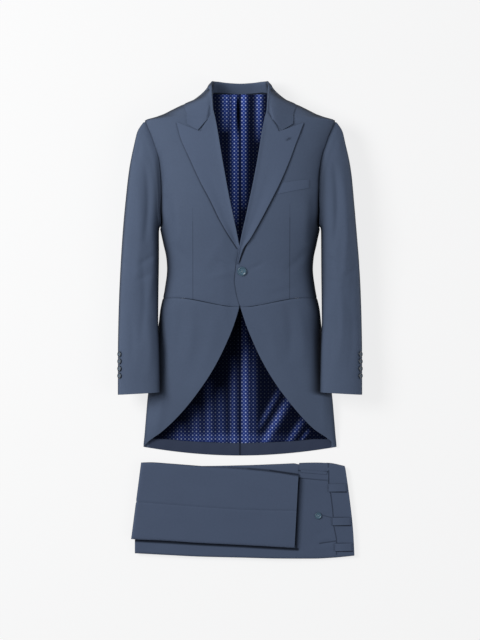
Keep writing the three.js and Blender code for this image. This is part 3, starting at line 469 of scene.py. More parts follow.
@dataclass(frozen=True)
class FoulardLining:
    """Woven viscose twill lining with a small foulard repeat: silky, so its folds catch the light."""

    name: str = "viscose_lining_foulard"
    ground: str = "#2b4290"
    figure: str = "#c9d8ff"
    small: str = "#8ba3e8"
    hollow: str = "#04060d"  # painted shade between the folds
    pitch_mm: float = 9.7
    dot_mm: float = 1.75
    small_mm: float = 1.35
    figure_height_mm: float = 0.1
    roughness: float = 0.55
    gloss: float = 0.2
    glow: float = 0.0  # painted light: a glow that stands in for the light that silk throws back between deep folds, which few bounces lose

    def build(self) -> Material:
        """Makes the material, with its figures on the piece's own UV map."""
        made, tree = start_material(self.name)
        uv = add(tree, "ShaderNodeTexCoord").outputs["UV"]
        big = self.dots(tree, uv, 0.0, self.dot_mm)
        pip = self.dots(tree, uv, 0.5, self.small_mm)
        lit = light_on(tree)
        colour = mixed(tree, pip, linear(self.ground), linear(self.small))
        colour = mixed(tree, big, colour, linear(self.figure))
        # Painted shade between the folds and painted light on their ridges, from the light noted on the
        # vertices
        colour = mixed(tree, lit, linear(self.hollow), colour)
        raised = {"Height": reckon(tree, "ADD", big, pip), "Distance": self.figure_height_mm * MM}
        normal = add(tree, "ShaderNodeBump", raised | {"Strength": 0.3}).outputs[0]
        skin = {"Base Color": colour, "Roughness": self.roughness, "Normal": normal}
        # Painted light: the lining also emits its own colour, at the glow strength
        skin |= {"Emission Color": colour, "Emission Strength": self.glow}
        finish_material(tree, skin | {"Specular IOR Level": reckon(tree, "MULTIPLY", lit, self.gloss)})
        return made

    def dots(self, tree: Tree, uv: Socket, shift: float, radius: float) -> Socket:
        """A mask of round figures on a square grid.

        Args:
            tree: the material's tree.
            uv: coordinates on the cloth, in metres.
            shift: offset of the grid, in shares of the pitch.
            radius: radius of a figure in millimetres.

        Returns:
            The mask's socket.
        """
        grid = reckon_vector(tree, "MULTIPLY", uv, (1 / (self.pitch_mm * MM),) * 3)
        cell = reckon_vector(tree, "FRACTION", reckon_vector(tree, "ADD", grid, (shift,) * 3))
        centred = reckon_vector(tree, "SUBTRACT", cell, (0.5, 0.5, 0))
        plane = reckon_vector(tree, "MULTIPLY", centred, (1, 1, 0))
        far = add(tree, "ShaderNodeVectorMath", {0: plane}, operation="LENGTH").outputs["Value"]
        size = radius / self.pitch_mm
        ends = {0: far, 1: size * 1.25, 2: size * 0.7, 3: 0.0, 4: 1.0}
        return add(tree, "ShaderNodeMapRange", ends).outputs[0]


@dataclass(frozen=True)
class ButtonResin:
    """Cast polyester button, dyed blue-grey and polished: a faint marbling under a soft gloss."""

    name: str = "polyester_button_blue"
    colour: str = "#58798d"
    deep: str = "#3c5468"
    dish: str = "#64889c"  # the dish catches more light than the turned rim
    dish_share: float = 0.6
    vein_mm: float = 7.0
    roughness: float = 0.28

    def build(self) -> Material:
        """Makes the material."""
        made, tree = start_material(self.name)
        place = add(tree, "ShaderNodeTexCoord").outputs["Object"]
        veins = {"Vector": place, "Scale": 1 / (self.vein_mm * MM), "Detail": 4.0, "Distortion": 1.6}
        share = add(tree, "ShaderNodeTexNoise", veins).outputs["Fac"]
        colour = mixed(tree, share, linear(self.deep), linear(self.colour))
        # Painted highlight: the dish is coloured lighter than the rim
        part = reckon(tree, "MULTIPLY", light_on(tree), self.dish_share)
        skin = {"Base Color": mixed(tree, part, colour, linear(self.dish)), "Roughness": self.roughness}
        finish_material(tree, skin | {"Coat Weight": 0.35, "Coat Roughness": 0.15})
        return made


@dataclass(frozen=True)
class SewingThread:
    """Spun polyester thread: matt, with the fine twist of its plies."""

    name: str = "polyester_thread"
    colour: str = "#8b9fb0"
    shaded: float = 0.75  # light between the plies
    roughness: float = 0.7
    ply_mm: float = 0.6

    def build(self) -> Material:
        """Makes the material."""
        made, tree = start_material(self.name)
        place = add(tree, "ShaderNodeTexCoord").outputs["Object"]
        twist = {"Vector": place, "Scale": 1 / (self.ply_mm * MM * 6), "Distortion": 1.0}
        share = add(tree, "ShaderNodeTexWave", twist).outputs["Fac"]
        light = linear(self.colour)
        dark = (*(part * self.shaded for part in light[:3]), 1.0)
        finish_material(tree, {"Base Color": mixed(tree, share, dark, light), "Roughness": self.roughness})
        return made


# Cloth shells


class Slot(Enum):
    """The material slots of the pieces."""

    WORSTED = "worsted"
    LINING = "lining"
    BUTTON = "button"


class Held(Enum):
    """How a cut piece lies."""

    LAID = "laid"
    FOLDED = "folded"


def fractions(length: float, step: float, close: tuple[float, ...]) -> Array:
    """Shares from 0 to 1, a step apart in the middle and closer at the ends."""
    ends = np.array([c for c in close if c < length / 4]) / length
    first = ends[-1] if len(ends) else 0.0
    count = max(2, int(round(length * (1 - 2 * first) / step)))
    middle = np.linspace(first, 1 - first, count + 1)
    return np.unique(np.round(np.concatenate(([0.0], ends, middle, 1 - ends, [1.0])), 9))


def lengths_of(grid: Array) -> Pair:
    """The longest row and the longest column of a grid of points, in millimetres."""
    rows = np.linalg.norm(np.diff(grid, axis=1), axis=-1).sum(1)
    columns = np.linalg.norm(np.diff(grid, axis=0), axis=-1).sum(0)
    return float(rows.max()), float(columns.max())


def area_of(grid: Array) -> float:
    """The area of a grid of points, in square millimetres."""
    a, b, c, d = grid[:-1, :-1], grid[:-1, 1:], grid[1:, 1:], grid[1:, :-1]
    return float((np.linalg.norm(np.cross(c - a, d - b), axis=-1) / 2).sum())


def mesh_object(
    name: str, points: Array, faces: Array, uv: Array | None = None, lit: Array | None = None
) -> Object:
    """Makes a closed smooth mesh object whose faces point out.

    Args:
        name: the object's name.
        points: one row of three millimetre values for each vertex.
        faces: rows of four vertex numbers.
        uv: metres on the cloth for each vertex.
        lit: how open to the light each vertex lies, from 0 in a deep fold to 1.

    Returns:
        The object, at the origin.
    """
    corners = points[faces]
    middle = corners.mean(1)
    normal = np.cross(corners[:, 2] - corners[:, 0], corners[:, 3] - corners[:, 1])
    if (middle * normal).sum() < 0:
        faces = faces[:, ::-1]
    mesh = bpy.data.meshes.new(name)
    mesh.vertices.add(len(points))
    mesh.vertices.foreach_set("co", (points * MM).ravel())
    mesh.loops.add(faces.size)
    mesh.loops.foreach_set("vertex_index", faces.ravel())
    mesh.polygons.add(len(faces))
    mesh.polygons.foreach_set("loop_start", np.arange(0, faces.size, 4))
    mesh.polygons.foreach_set("loop_total", np.full(len(faces), 4))
    if uv is not None:
        layer = mesh.uv_layers.new(name="cloth")
        layer.data.foreach_set("uv", uv[faces.ravel()].ravel())
    if lit is not None:
        mesh.attributes.new("lit", "FLOAT", "POINT").data.foreach_set("value", lit)
    mesh.polygons.foreach_set("use_smooth", np.ones(len(faces), bool))
    mesh.update(calc_edges=True)
    mesh.validate()
    return link(name, mesh)


def shell(name: str, outer: Array, inner: Array, uv: Array, lit: Array, roll: float) -> Object:
    """A closed sheet between two grids of points, with rounded edges.

    Args:
        name: the object's name.
        outer: grid of points on the face that shows.
        inner: grid of points on the other face.
        uv: metres on the cloth for each point of the grid.
        lit: how open to the light each point of the grid lies.
        roll: how far the edges bulge, in shares of the thickness.

    Returns:
        The mesh object.
    """
    rows, columns = outer.shape[:2]
    index = np.arange(rows * columns).reshape(rows, columns)
    loop = np.concatenate((index[0, :-1], index[:-1, -1], index[-1, :0:-1], index[:0:-1, 0]))
    inward = np.concatenate((index[1, :-1], index[:-1, -2], index[-2, :0:-1], index[:0:-1, 1]))
    flat_outer, flat_inner = outer.reshape(-1, 3), inner.reshape(-1, 3)
    middle = (flat_outer[loop] + flat_inner[loop]) / 2
    out = middle - (flat_outer[inward] + flat_inner[inward]) / 2
    out /= np.maximum(np.linalg.norm(out, axis=1, keepdims=True), 1e-6)
    thick = np.linalg.norm(flat_outer[loop] - flat_inner[loop], axis=1, keepdims=True)
    size = rows * columns
    points = np.concatenate((flat_outer, flat_inner, middle + out * thick * roll))
    quads = np.stack((index[:-1, :-1], index[:-1, 1:], index[1:, 1:], index[1:, :-1]), -1).reshape(-1, 4)
    rim = 2 * size + np.arange(len(loop))
    after, rim_after = np.roll(loop, -1), np.roll(rim, -1)
    upper = np.stack((loop, rim, rim_after, after), 1)
    lower = np.stack((rim, loop + size, after + size, rim_after), 1)
    faces = np.concatenate((quads, (quads + size)[:, ::-1], upper, lower))
    flat_uv, flat_lit = uv.reshape(-1, 2), lit.reshape(-1)
    uvs, lits = (np.concatenate((a, a, a[loop])) for a in (flat_uv, flat_lit))
    return mesh_object(name, points, faces, uvs, lits)


@dataclass
class ClothPiece:
    """One piece of cloth, cut and sewn on, as a thin closed shell."""

    node: str
    name: str = ""
    step: float = 3.0
    wall: float = CLOTH
    out: float = 0.0
    roll: float = 0.12
    slot: Slot = Slot.WORSTED
    held: Held = Held.LAID
    rests_on: tuple[str, ...] = ()
    close: tuple[float, ...] = (0.9, 2.2, 4.4)  # rows near the edges, in millimetres from them
    cut: Triple = (0.0, 0.0, 0.0)

    def __post_init__(self) -> None:
        """Names the piece after the node that it dresses."""
        self.name = self.name or f"{self.node}_cloth"

    def surface(self, u: Array, v: Array, out: float) -> Array:
        """The piece's face, moved out from the garment's form."""
        raise NotImplementedError

    def pattern(self, outer: Array) -> Array:
        """Metres along the cloth for each point of the grid."""
        steps = np.linalg.norm(np.diff(outer, axis=1), axis=-1)
        across = np.concatenate((np.zeros_like(steps[:, :1]), np.cumsum(steps, 1)), 1)
        across -= across[:, across.shape[1] // 2][:, None]
        middle = outer[:, outer.shape[1] // 2]
        up = np.concatenate(([0], np.cumsum(np.linalg.norm(np.diff(middle, axis=0), axis=-1))))
        return np.stack((across, np.broadcast_to(up[:, None], across.shape)), -1) * MM

    def lit(self, outer: Array) -> Array:
        """How open to the light each point of the grid lies."""
        return np.ones(outer.shape[:2])

    def build(self) -> Object:
        """Makes the shell and notes the size of its cut."""
        coarse = np.meshgrid(np.linspace(0, 1, 13), np.linspace(0, 1, 25))
        width, length = lengths_of(self.surface(*coarse, self.out))
        u, v = np.meshgrid(fractions(width, self.step, self.close), fractions(length, self.step, self.close))
        outer = self.surface(u, v, self.out)
        inner = self.surface(u, v, self.out - self.wall)
        middle = (outer + inner) / 2
        width, length = lengths_of(middle)
        self.cut = (width * MM, length * MM, area_of(middle) * MM * MM)
        return shell(self.name, outer, inner, self.pattern(outer), self.lit(outer), self.roll)

    def dress(self, made: Object, material: Material) -> Object:
        """Gives the piece its cloth, hangs it on the body's empty, hides the part that it dresses and logs the
        size of its cut.
        """
        made.data.materials.append(material)
        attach(made, BODY)
        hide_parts(self.node)
        width, length, area = self.cut
        width, length = max(width, LEAST_CUT), max(length, LEAST_CUT)
        area = float(np.clip(area, LEAST_SHARE * width * length, width * length))
        list(self.rests_on)
        faces = len(made.data.polygons)
        log.info("%s: cut %.0f x %.0f mm, %d faces", made.name, width / MM, length / MM, faces)
        return made


# Coat


class Wearer(Enum):
    """The wearer's two sides; the value is the sign of X."""

    RIGHT = -1
    LEFT = 1

    @property
    def word(self) -> str:
        """The side's name in node names."""
        return self.name.lower()


@dataclass(frozen=True)
class FrontEdges:
    """The edges of one front, as distances from the centre line, outwards positive."""

    side: Wearer
    inner: Curve
    roll: Curve
    lapel: Curve
    cutaway: Curve
    lapel_end: float
    peak: float
    notch: Spot
    waist_inner: float = 32

    @property
    def under(self) -> bool:
        """Whether this front lies under the other."""
        return self.side is Wearer.RIGHT


RIGHT_EDGES = FrontEdges(
    side=Wearer.RIGHT,
    inner=edge(
        (30, 1.5), (45, -4), (62, -10), (100, -14), (140, -13), (165, -7), (188, 2.5), (218, 9), (307, 28),
        (400, 45), (497, 61.5), (523, 69), (545, 82), (567, 88),
    ),
    roll=edge(
        (174, -4), (184, 1), (218, 8), (307, 27), (400, 44), (497, 60.5), (523.5, 66.5),
    ),
    lapel=edge(
        (174, 2.8), (181, 7.4), (208, 25), (251, 50.3), (301, 74.7), (348, 99.6), (401, 123.8),
        (456, 148.3), (496.5, 159.3),
    ),
    cutaway=edge(
        (-325, 246), (-314, 237), (-305, 226), (-288, 202), (-254.5, 165.5), (-218.5, 133), (-177.5, 101.8),
        (-137, 74.6), (-97, 52.2), (-56, 32.6), (-16, 16), (30, 1.5), (36, 0),
    ),
    lapel_end=175.5,
    peak=496.5,
    notch=Spot(471, 98.9),
)
LEFT_EDGES = FrontEdges(
    side=Wearer.LEFT,
    inner=edge(
        (30, 1), (63, -8), (97, -13.5), (142, -8.5), (172, -2.5), (200, 2.5), (223, 7.3), (277, 19.7),
        (383, 41.5), (497, 61), (523, 69), (545, 82), (567, 88),
    ),
    roll=edge(
        (142, -9), (172, -3.5), (200, 1.5), (223, 6.3), (277, 18.7), (383, 40.5), (497, 60), (523.5, 66.5),
    ),
    lapel=edge(
        (142, -4), (177, 6.9), (203.5, 25), (246.5, 49.8), (293.5, 74.7), (343.5, 99.7), (401, 124.3),
        (436.5, 137.5), (469, 150), (494.5, 159.8),
    ),
    cutaway=edge(
        (-325, 245.5), (-314, 236), (-303, 223), (-279, 188.5), (-254.5, 163.5), (-218.5, 132.5),
        (-177.5, 100.8), (-137, 74.2), (-97, 51.9), (-56, 32.8), (-16, 16.4), (30, 1), (36, -1),
    ),
    lapel_end=142,
    peak=494.5,
    notch=Spot(471, 97.6),
)
BACK_SEAM = edge(
    (-346, 104), (-150, 84), (45, 62), (120, 78), (220, 120), (300, 170), (330, 199),
)
WAIST_SIDE = 55
SIDE_BODY_TOP = 318
NECK_POINT = 567
NECK_SEAM = 577
HEM_CENTRE = -348
HEM_SIDE = -325
TAIL_SEAM = 104.0  # half the back's width at the hem
UNDERLAP_DROP = 3.2
# Heights of windows, for within(): start, full, fading, end
LAPPED = (-60, 20, 190, 250)  # where one front lies over the other
ARM_DIP = (195, 250, 250, 430)  # where the front falls away to the armpit
ARMPIT = (150, 250, 300, 470)
SLEEVE_OVER = (-200, -188, 30, 80)  # where the sleeve covers the coat's side
SLEEVE_BESIDE = (-200, -180, 225, 330)  # where the sleeve lies close to it
SLEEVE_SHADED = (-60, 120, 330, 500)  # where the coat shades the sleeve most
LAY_GAP = 0.9


def underlap(edges: FrontEdges, tau: Array, y: Array) -> Array:
    """How far the under front is let down where the other front laps over it."""
    if not edges.under:
        return np.zeros(np.broadcast(tau, y).shape)
    x = FORM.point(tau, y)[..., 0]
    share = (1 - smooth(10, 46, x)) * within(y, *LAPPED)
    return -UNDERLAP_DROP * share * (tau < 1)


def grounded(spot: Array, out: float) -> Array:
    """Keeps a face out of the table: the cloth that rests on it lies flat."""
    spot[..., 2] = np.maximum(spot[..., 2], -out)
    return spot


@dataclass
class CoatPanel(ClothPiece):
    """A panel of the coat between two curves of height and two edges of each section."""

    edges: FrontEdges = RIGHT_EDGES
    low: Profile = lambda u: u * 0
    high: Profile = lambda u: u * 0
    ends: Callable[[Array], tuple[Array, Array]] = lambda y: (y, y)
    folds: tuple[Fold, ...] = ()
    seams: tuple[bool, bool, bool, bool] = (True, True, True, True)  # left, right, low and high edge are sewn
    seam_depth: float = 1.0
    seam_width: float = 2.6
    slack: float = 0.0  # waviness of soft hidden panels
    calm_edge: float = 14.0  # width beside an edge that the waves leave flat
    fold_share: float = 1.4
    side_shade: float = 0.94
    side_shade_width: float = 20.0
    sleeve_edge: float = 205.0
    armhole_dip: float = 0.0  # how far the front falls away towards the armpit

    def surface(self, u: Array, v: Array, out: float) -> Array:
        """The panel's face, with its folds and the dips along its seams."""
        low, high = self.low(u) + SEAM_GAP / 2, self.high(u) - SEAM_GAP / 2
        y = lerp(low, high, v)
        start, end = self.ends(y)
        tau, whole = FORM.along(y, start, end, u)
        spot = FORM.point(tau, y)
        hand = self.edges.side.value
        rise = self.fold_share * folded(self.folds, spot[..., 0] * hand, y)
        gaps = (u * whole, (1 - u) * whole, y - low, high - y)
        near = np.ones_like(y)
        for sewn, gap in zip(self.seams, gaps):
            if sewn:
                rise = rise - self.seam_depth * bell(gap, self.seam_width)
            near = near * smooth(0, self.calm_edge, gap)
        low_arm = within(y, *ARM_DIP)
        rise = rise - self.armhole_dip * low_arm * bell(gaps[1], 5 + 7 * low_arm)
        rise = rise + self.slack * near * np.sin(y / 31 + spot[..., 0] / 23) * np.cos(spot[..., 0] / 37)
        return grounded(FORM.place(hand, tau, y, out + rise + underlap(self.edges, tau, y)), out)

    def lit(self, outer: Array) -> Array:
        """The sides lie in the shade of the sleeves, the wearer's left in more of it."""
        x, y = np.abs(outer[..., 0]), outer[..., 1]
        half = FORM.read("half", y)
        covered = within(y, *SLEEVE_OVER)
        inset = np.maximum(lerp(half, np.minimum(half, self.sleeve_edge), covered) - x, 0)
        beside = within(y, *SLEEVE_BESIDE)
        left = self.edges.side is Wearer.LEFT
        width = (self.side_shade_width if left else 0.62 * self.side_shade_width) * (0.4 + 0.6 * beside)
        depth = self.side_shade * (0.4 + 0.6 * beside) * (1.0 if left else 0.85)
        armpit = within(y, *ARMPIT)
        return 1 - depth * bell(inset, width * (1 + 0.3 * armpit))


# Folds, in the place that they have on the laid coat. X is negative on the wearer's right.
FRONT_FOLDS = rows_of(
    Fold,
    (-186, 318, -176, 196, -3.2, 13), (-158, 300, -166, 150, 1.3, 14), (-176, 196, -118, 128, -1.1, 9),
    (-60, 150, -14, 128, -1.2, 6), (-78, 104, -16, 118, 0.9, 8), (-146, 96, -70, 66, -0.8, 9),
    (-40, 214, -96, 120, 0.7, 12), (-212, 430, -196, 330, -1.6, 8), (186, 322, 176, 190, -3.0, 13),
    (160, 306, 168, 140, 1.2, 15), (178, 186, 112, 120, -1.2, 10), (64, 146, 20, 126, -1.0, 6),
    (88, 98, 22, 116, 0.8, 8), (150, 88, 66, 62, -0.7, 9), (214, 436, 198, 340, -1.5, 8),
    (120, 520, 176, 420, -0.8, 14), (-124, 516, -178, 418, -0.7, 14),
)
SKIRT_FOLDS = rows_of(
    Fold,
    (-124, 44, -134, -112, 1.4, 12), (-150, 40, -166, -96, -1.3, 11), (-60, 20, -92, -120, 0.9, 16),
    (-188, 20, -214, -170, -2.0, 14), (-196, -120, -218, -300, 1.8, 12), (-100, -60, -170, -236, -0.8, 20),
    (118, 44, 126, -104, -1.5, 12), (146, 40, 160, -120, 1.2, 12), (60, 14, 96, -116, 0.8, 16),
    (186, 20, 212, -170, -2.2, 14), (198, -126, 216, -296, 1.7, 12), (110, -80, 176, -230, -0.8, 20),
)
BACK_FOLDS = rows_of(
    Fold,
    (-40, 470, -150, 380, -1.2, 12), (36, 468, 148, 372, -1.0, 13), (-30, 120, -88, 40, 1.0, 10),
    (34, 110, 92, 36, 1.1, 10), (-96, -60, -150, -250, 1.3, 14), (92, -70, 152, -240, 1.2, 14),
)


def back_edge(y: Array) -> Array:
    """tau of the back's outer edge: the seam, the armhole and then the shoulder."""
    seam = FORM.back_tau(BACK_SEAM(y), y)
    inside = (y > FORM.armhole_bottom) & (y < FORM.armhole_top)
    return np.where(y < SIDE_BODY_TOP, seam, np.where(inside, FORM.armhole_back(y), 1.0))


@dataclass
class CoatBody:
    """Fronts, side bodies, backs and skirts of both sides."""

    worsted: WorstedWool = WorstedWool()
    darts: tuple[Line, ...] = (
        Line((-119, 52), (-118.5, 246), 1.1, 0.34), Line((-118.5, 246), (-118.5, 280), 0.9, 0.18),
        Line((125, 52), (125, 256), 1.2, 0.38), Line((125, 256), (125, 290), 0.9, 0.2),
    )
    # painted shadow that the edge of the wearer's left front throws on the right front, where it laps over it
    front_edge: tuple[Pair, ...] = ((-4, 168), (-10, 142), (-14.6, 97), (-9.4, 63), (-2.5, 38))
    lapel_shade_width: float = 2.4
    lapel_shades: tuple[Pair, Pair] = ((0.25, 0.75), (0.35, 0.95))  # right, left
    fine: float = 3.6
    plain: float = 8.0

    def panels(self, edges: FrontEdges) -> list[CoatPanel]:
        """The four panels of one side."""
        word = edges.side.word

        def armhole_end(y: Array) -> Array:
            """tau of the front's outer edge."""
            inside = (y > FORM.armhole_bottom) & (y < FORM.armhole_top)
            return np.where(inside, FORM.armhole_front(y), 1.0)

        front = CoatPanel(
            node=f"front_{word}", step=self.fine, folds=FRONT_FOLDS,
            low=lambda u: lerp(edges.waist_inner, WAIST_SIDE, smooth(0, 0.75, u)),
            high=lambda u: NECK_POINT + u * 0,
            ends=lambda y: (FORM.front_tau(edges.inner(y), y), armhole_end(y)),
            seams=(False, True, True, True), armhole_dip=4.5,
        )
        side_body = CoatPanel(
            node=f"side_body_{word}", step=self.plain, slack=0.5,
            low=lambda u: WAIST_SIDE + u * 0,
            high=lambda u: SIDE_BODY_TOP + u * 0,
            ends=lambda y: (
                np.where(y > FORM.armhole_bottom, FORM.armhole_back(y), 1.0),
                FORM.back_tau(BACK_SEAM(y), y),
            ),
        )
        back = CoatPanel(
            node=f"back_{word}", step=self.plain, seam_depth=-0.7, folds=BACK_FOLDS,
            low=lambda u: hem_line(lerp(TAIL_SEAM, 0.0, u)),
            high=lambda u: lerp(NECK_POINT, NECK_SEAM, smooth(0, 0.5, u)),
            ends=lambda y: (back_edge(y), 3 + y * 0),
        )
        skirt = CoatPanel(
            node=f"skirt_{word}", step=self.fine, folds=SKIRT_FOLDS,
            low=lambda u: hem_line(lerp(245.0, TAIL_SEAM, u)),
            high=lambda u: (
                lerp(edges.waist_inner, WAIST_SIDE, smooth(0, 0.45, u)) - SEAM_GAP * (1 - smooth(0.7, 1, u))
            ),
            ends=lambda y: (FORM.front_tau(edges.cutaway(y), y), FORM.back_tau(BACK_SEAM(y), y)),
            seams=(False, True, False, True),
        )
        panels = [front, side_body, back, skirt]
        for panel in panels:
            panel.edges = edges
        return panels

    def dress(self) -> None:
        """Builds and dresses the panels."""
        plain = self.worsted.build()
        front_edge = chain(self.front_edge, 1.2, (0.6, 0.35))
        for edges in (RIGHT_EDGES, LEFT_EDGES):
            # The fronts' cloth carries the darts and painted shade: the shadows of the lapels' edges and of the
            # lapping front edge
            name = f"wool_worsted_front_{edges.side.word}"
            sewn = WorstedWool(name=name, lines=self.darts + self.lapel_shade(edges) + front_edge).build()
            for panel in self.panels(edges):
                panel.dress(panel.build(), sewn if panel.node.startswith("front") else plain)

    def lapel_shade(self, edges: FrontEdges) -> tuple[Line, ...]:
        """The shade that a lapel's edge throws on the chest, deeper towards the break."""
        hand = edges.side.value
        heights = np.linspace(edges.peak - 4, edges.lapel_end + 4, 9)
        spots = tuple((hand * (float(edges.lapel(y)) + 1.6), float(y)) for y in heights)
        return chain(spots, self.lapel_shade_width, self.lapel_shades[edges.side is Wearer.LEFT])


@dataclass
class Lapel(ClothPiece):
    """A peak lapel: the top of the front, turned back along the roll line."""

    edges: FrontEdges = RIGHT_EDGES
    notch_share: float = 0.44
    belly: float = 2.2  # how far the roll stands up
    stand_off: float = 3.4  # the lapel's edge stands away from the chest
    under_collar: float = 3.4  # its top goes on under the collar's end
    roll_width: float = 7.0
    roll_overhang: float = 8.0
    swell: float = 0.8  # broad rise of the padded cloth behind the roll
    swell_width: float = 26.0
    narrow: Pair = (4.0, 24.0)  # widths between which the edge comes to lie close

    def surface(self, u: Array, v: Array, out: float) -> Array:
        """The lapel's face, on the front and moved out."""
        edges = self.edges
        top = edges.roll.at[-1] - 1
        step = edges.notch.y
        low_part = lerp(top, step, u / self.notch_share)
        high_part = lerp(step, edges.peak, (u - self.notch_share) / (1 - self.notch_share))
        high = np.where(u < self.notch_share, low_part, high_part)
        gorge = 1 - smooth(self.notch_share - 0.08, self.notch_share - 0.01, u)
        y = lerp(edges.lapel_end + 0.5, high + self.under_collar * gorge, v)
        tuck = gorge * smooth(high - 0.5, high + 2.5, y)
        inner, outer = edges.roll(y), edges.lapel(y)
        x = lerp(inner, outer, u)
        tau = FORM.front_tau(x, y)
        far = u * (outer - inner + self.roll_overhang)
        belly = self.belly * smooth(0, 0.16, 1 - v)
        lift = LAY_GAP + belly * bell(far, self.roll_width) + self.swell * bell(far, self.swell_width)
        edge_lift = smooth(0.45, 1, u) * smooth(0.1, 0.6, 1 - v) * smooth(*self.narrow, outer - inner)
        lift = lerp(lift + self.stand_off * edge_lift, 0.3, tuck)
        return FORM.place(edges.side.value, tau, y, out + lift + underlap(edges, tau, y))


@dataclass
class BreastWelt(ClothPiece):
    """The welt of the breast pocket, a parallelogram on the wearer's left front."""

    low: tuple[Spot, Spot] = (Spot(314, 93), Spot(331, 173))
    high: tuple[Spot, Spot] = (Spot(343, 105), Spot(352.5, 174))
    stand: float = 0.35
    edge_drop: float = 0.3
    hollow: float = 0.5

    def surface(self, u: Array, v: Array, out: float) -> Array:
        """The welt's face, on the front and moved out."""
        x = lerp(lerp(self.low[0].x, self.low[1].x, u), lerp(self.high[0].x, self.high[1].x, u), v)
        y = lerp(lerp(self.low[0].y, self.low[1].y, u), lerp(self.high[0].y, self.high[1].y, u), v)
        ends = np.minimum(smooth(0, 0.05, u), smooth(0, 0.05, 1 - u))
        close = np.minimum(ends, np.minimum(smooth(0, 0.2, v), smooth(0, 0.1, 1 - v)))
        rise = self.stand - self.edge_drop * (1 - close) + self.hollow * (v - 1) * v
        return FORM.place(1, FORM.front_tau(x, y), y, out + rise)


class CollarStation(NamedTuple):
    """A section of the collar, by points of the face that shows."""

    foot: Triple
    stand: Triple
    roll: Triple
    turn: Triple
    middle: Triple
    edge: Triple


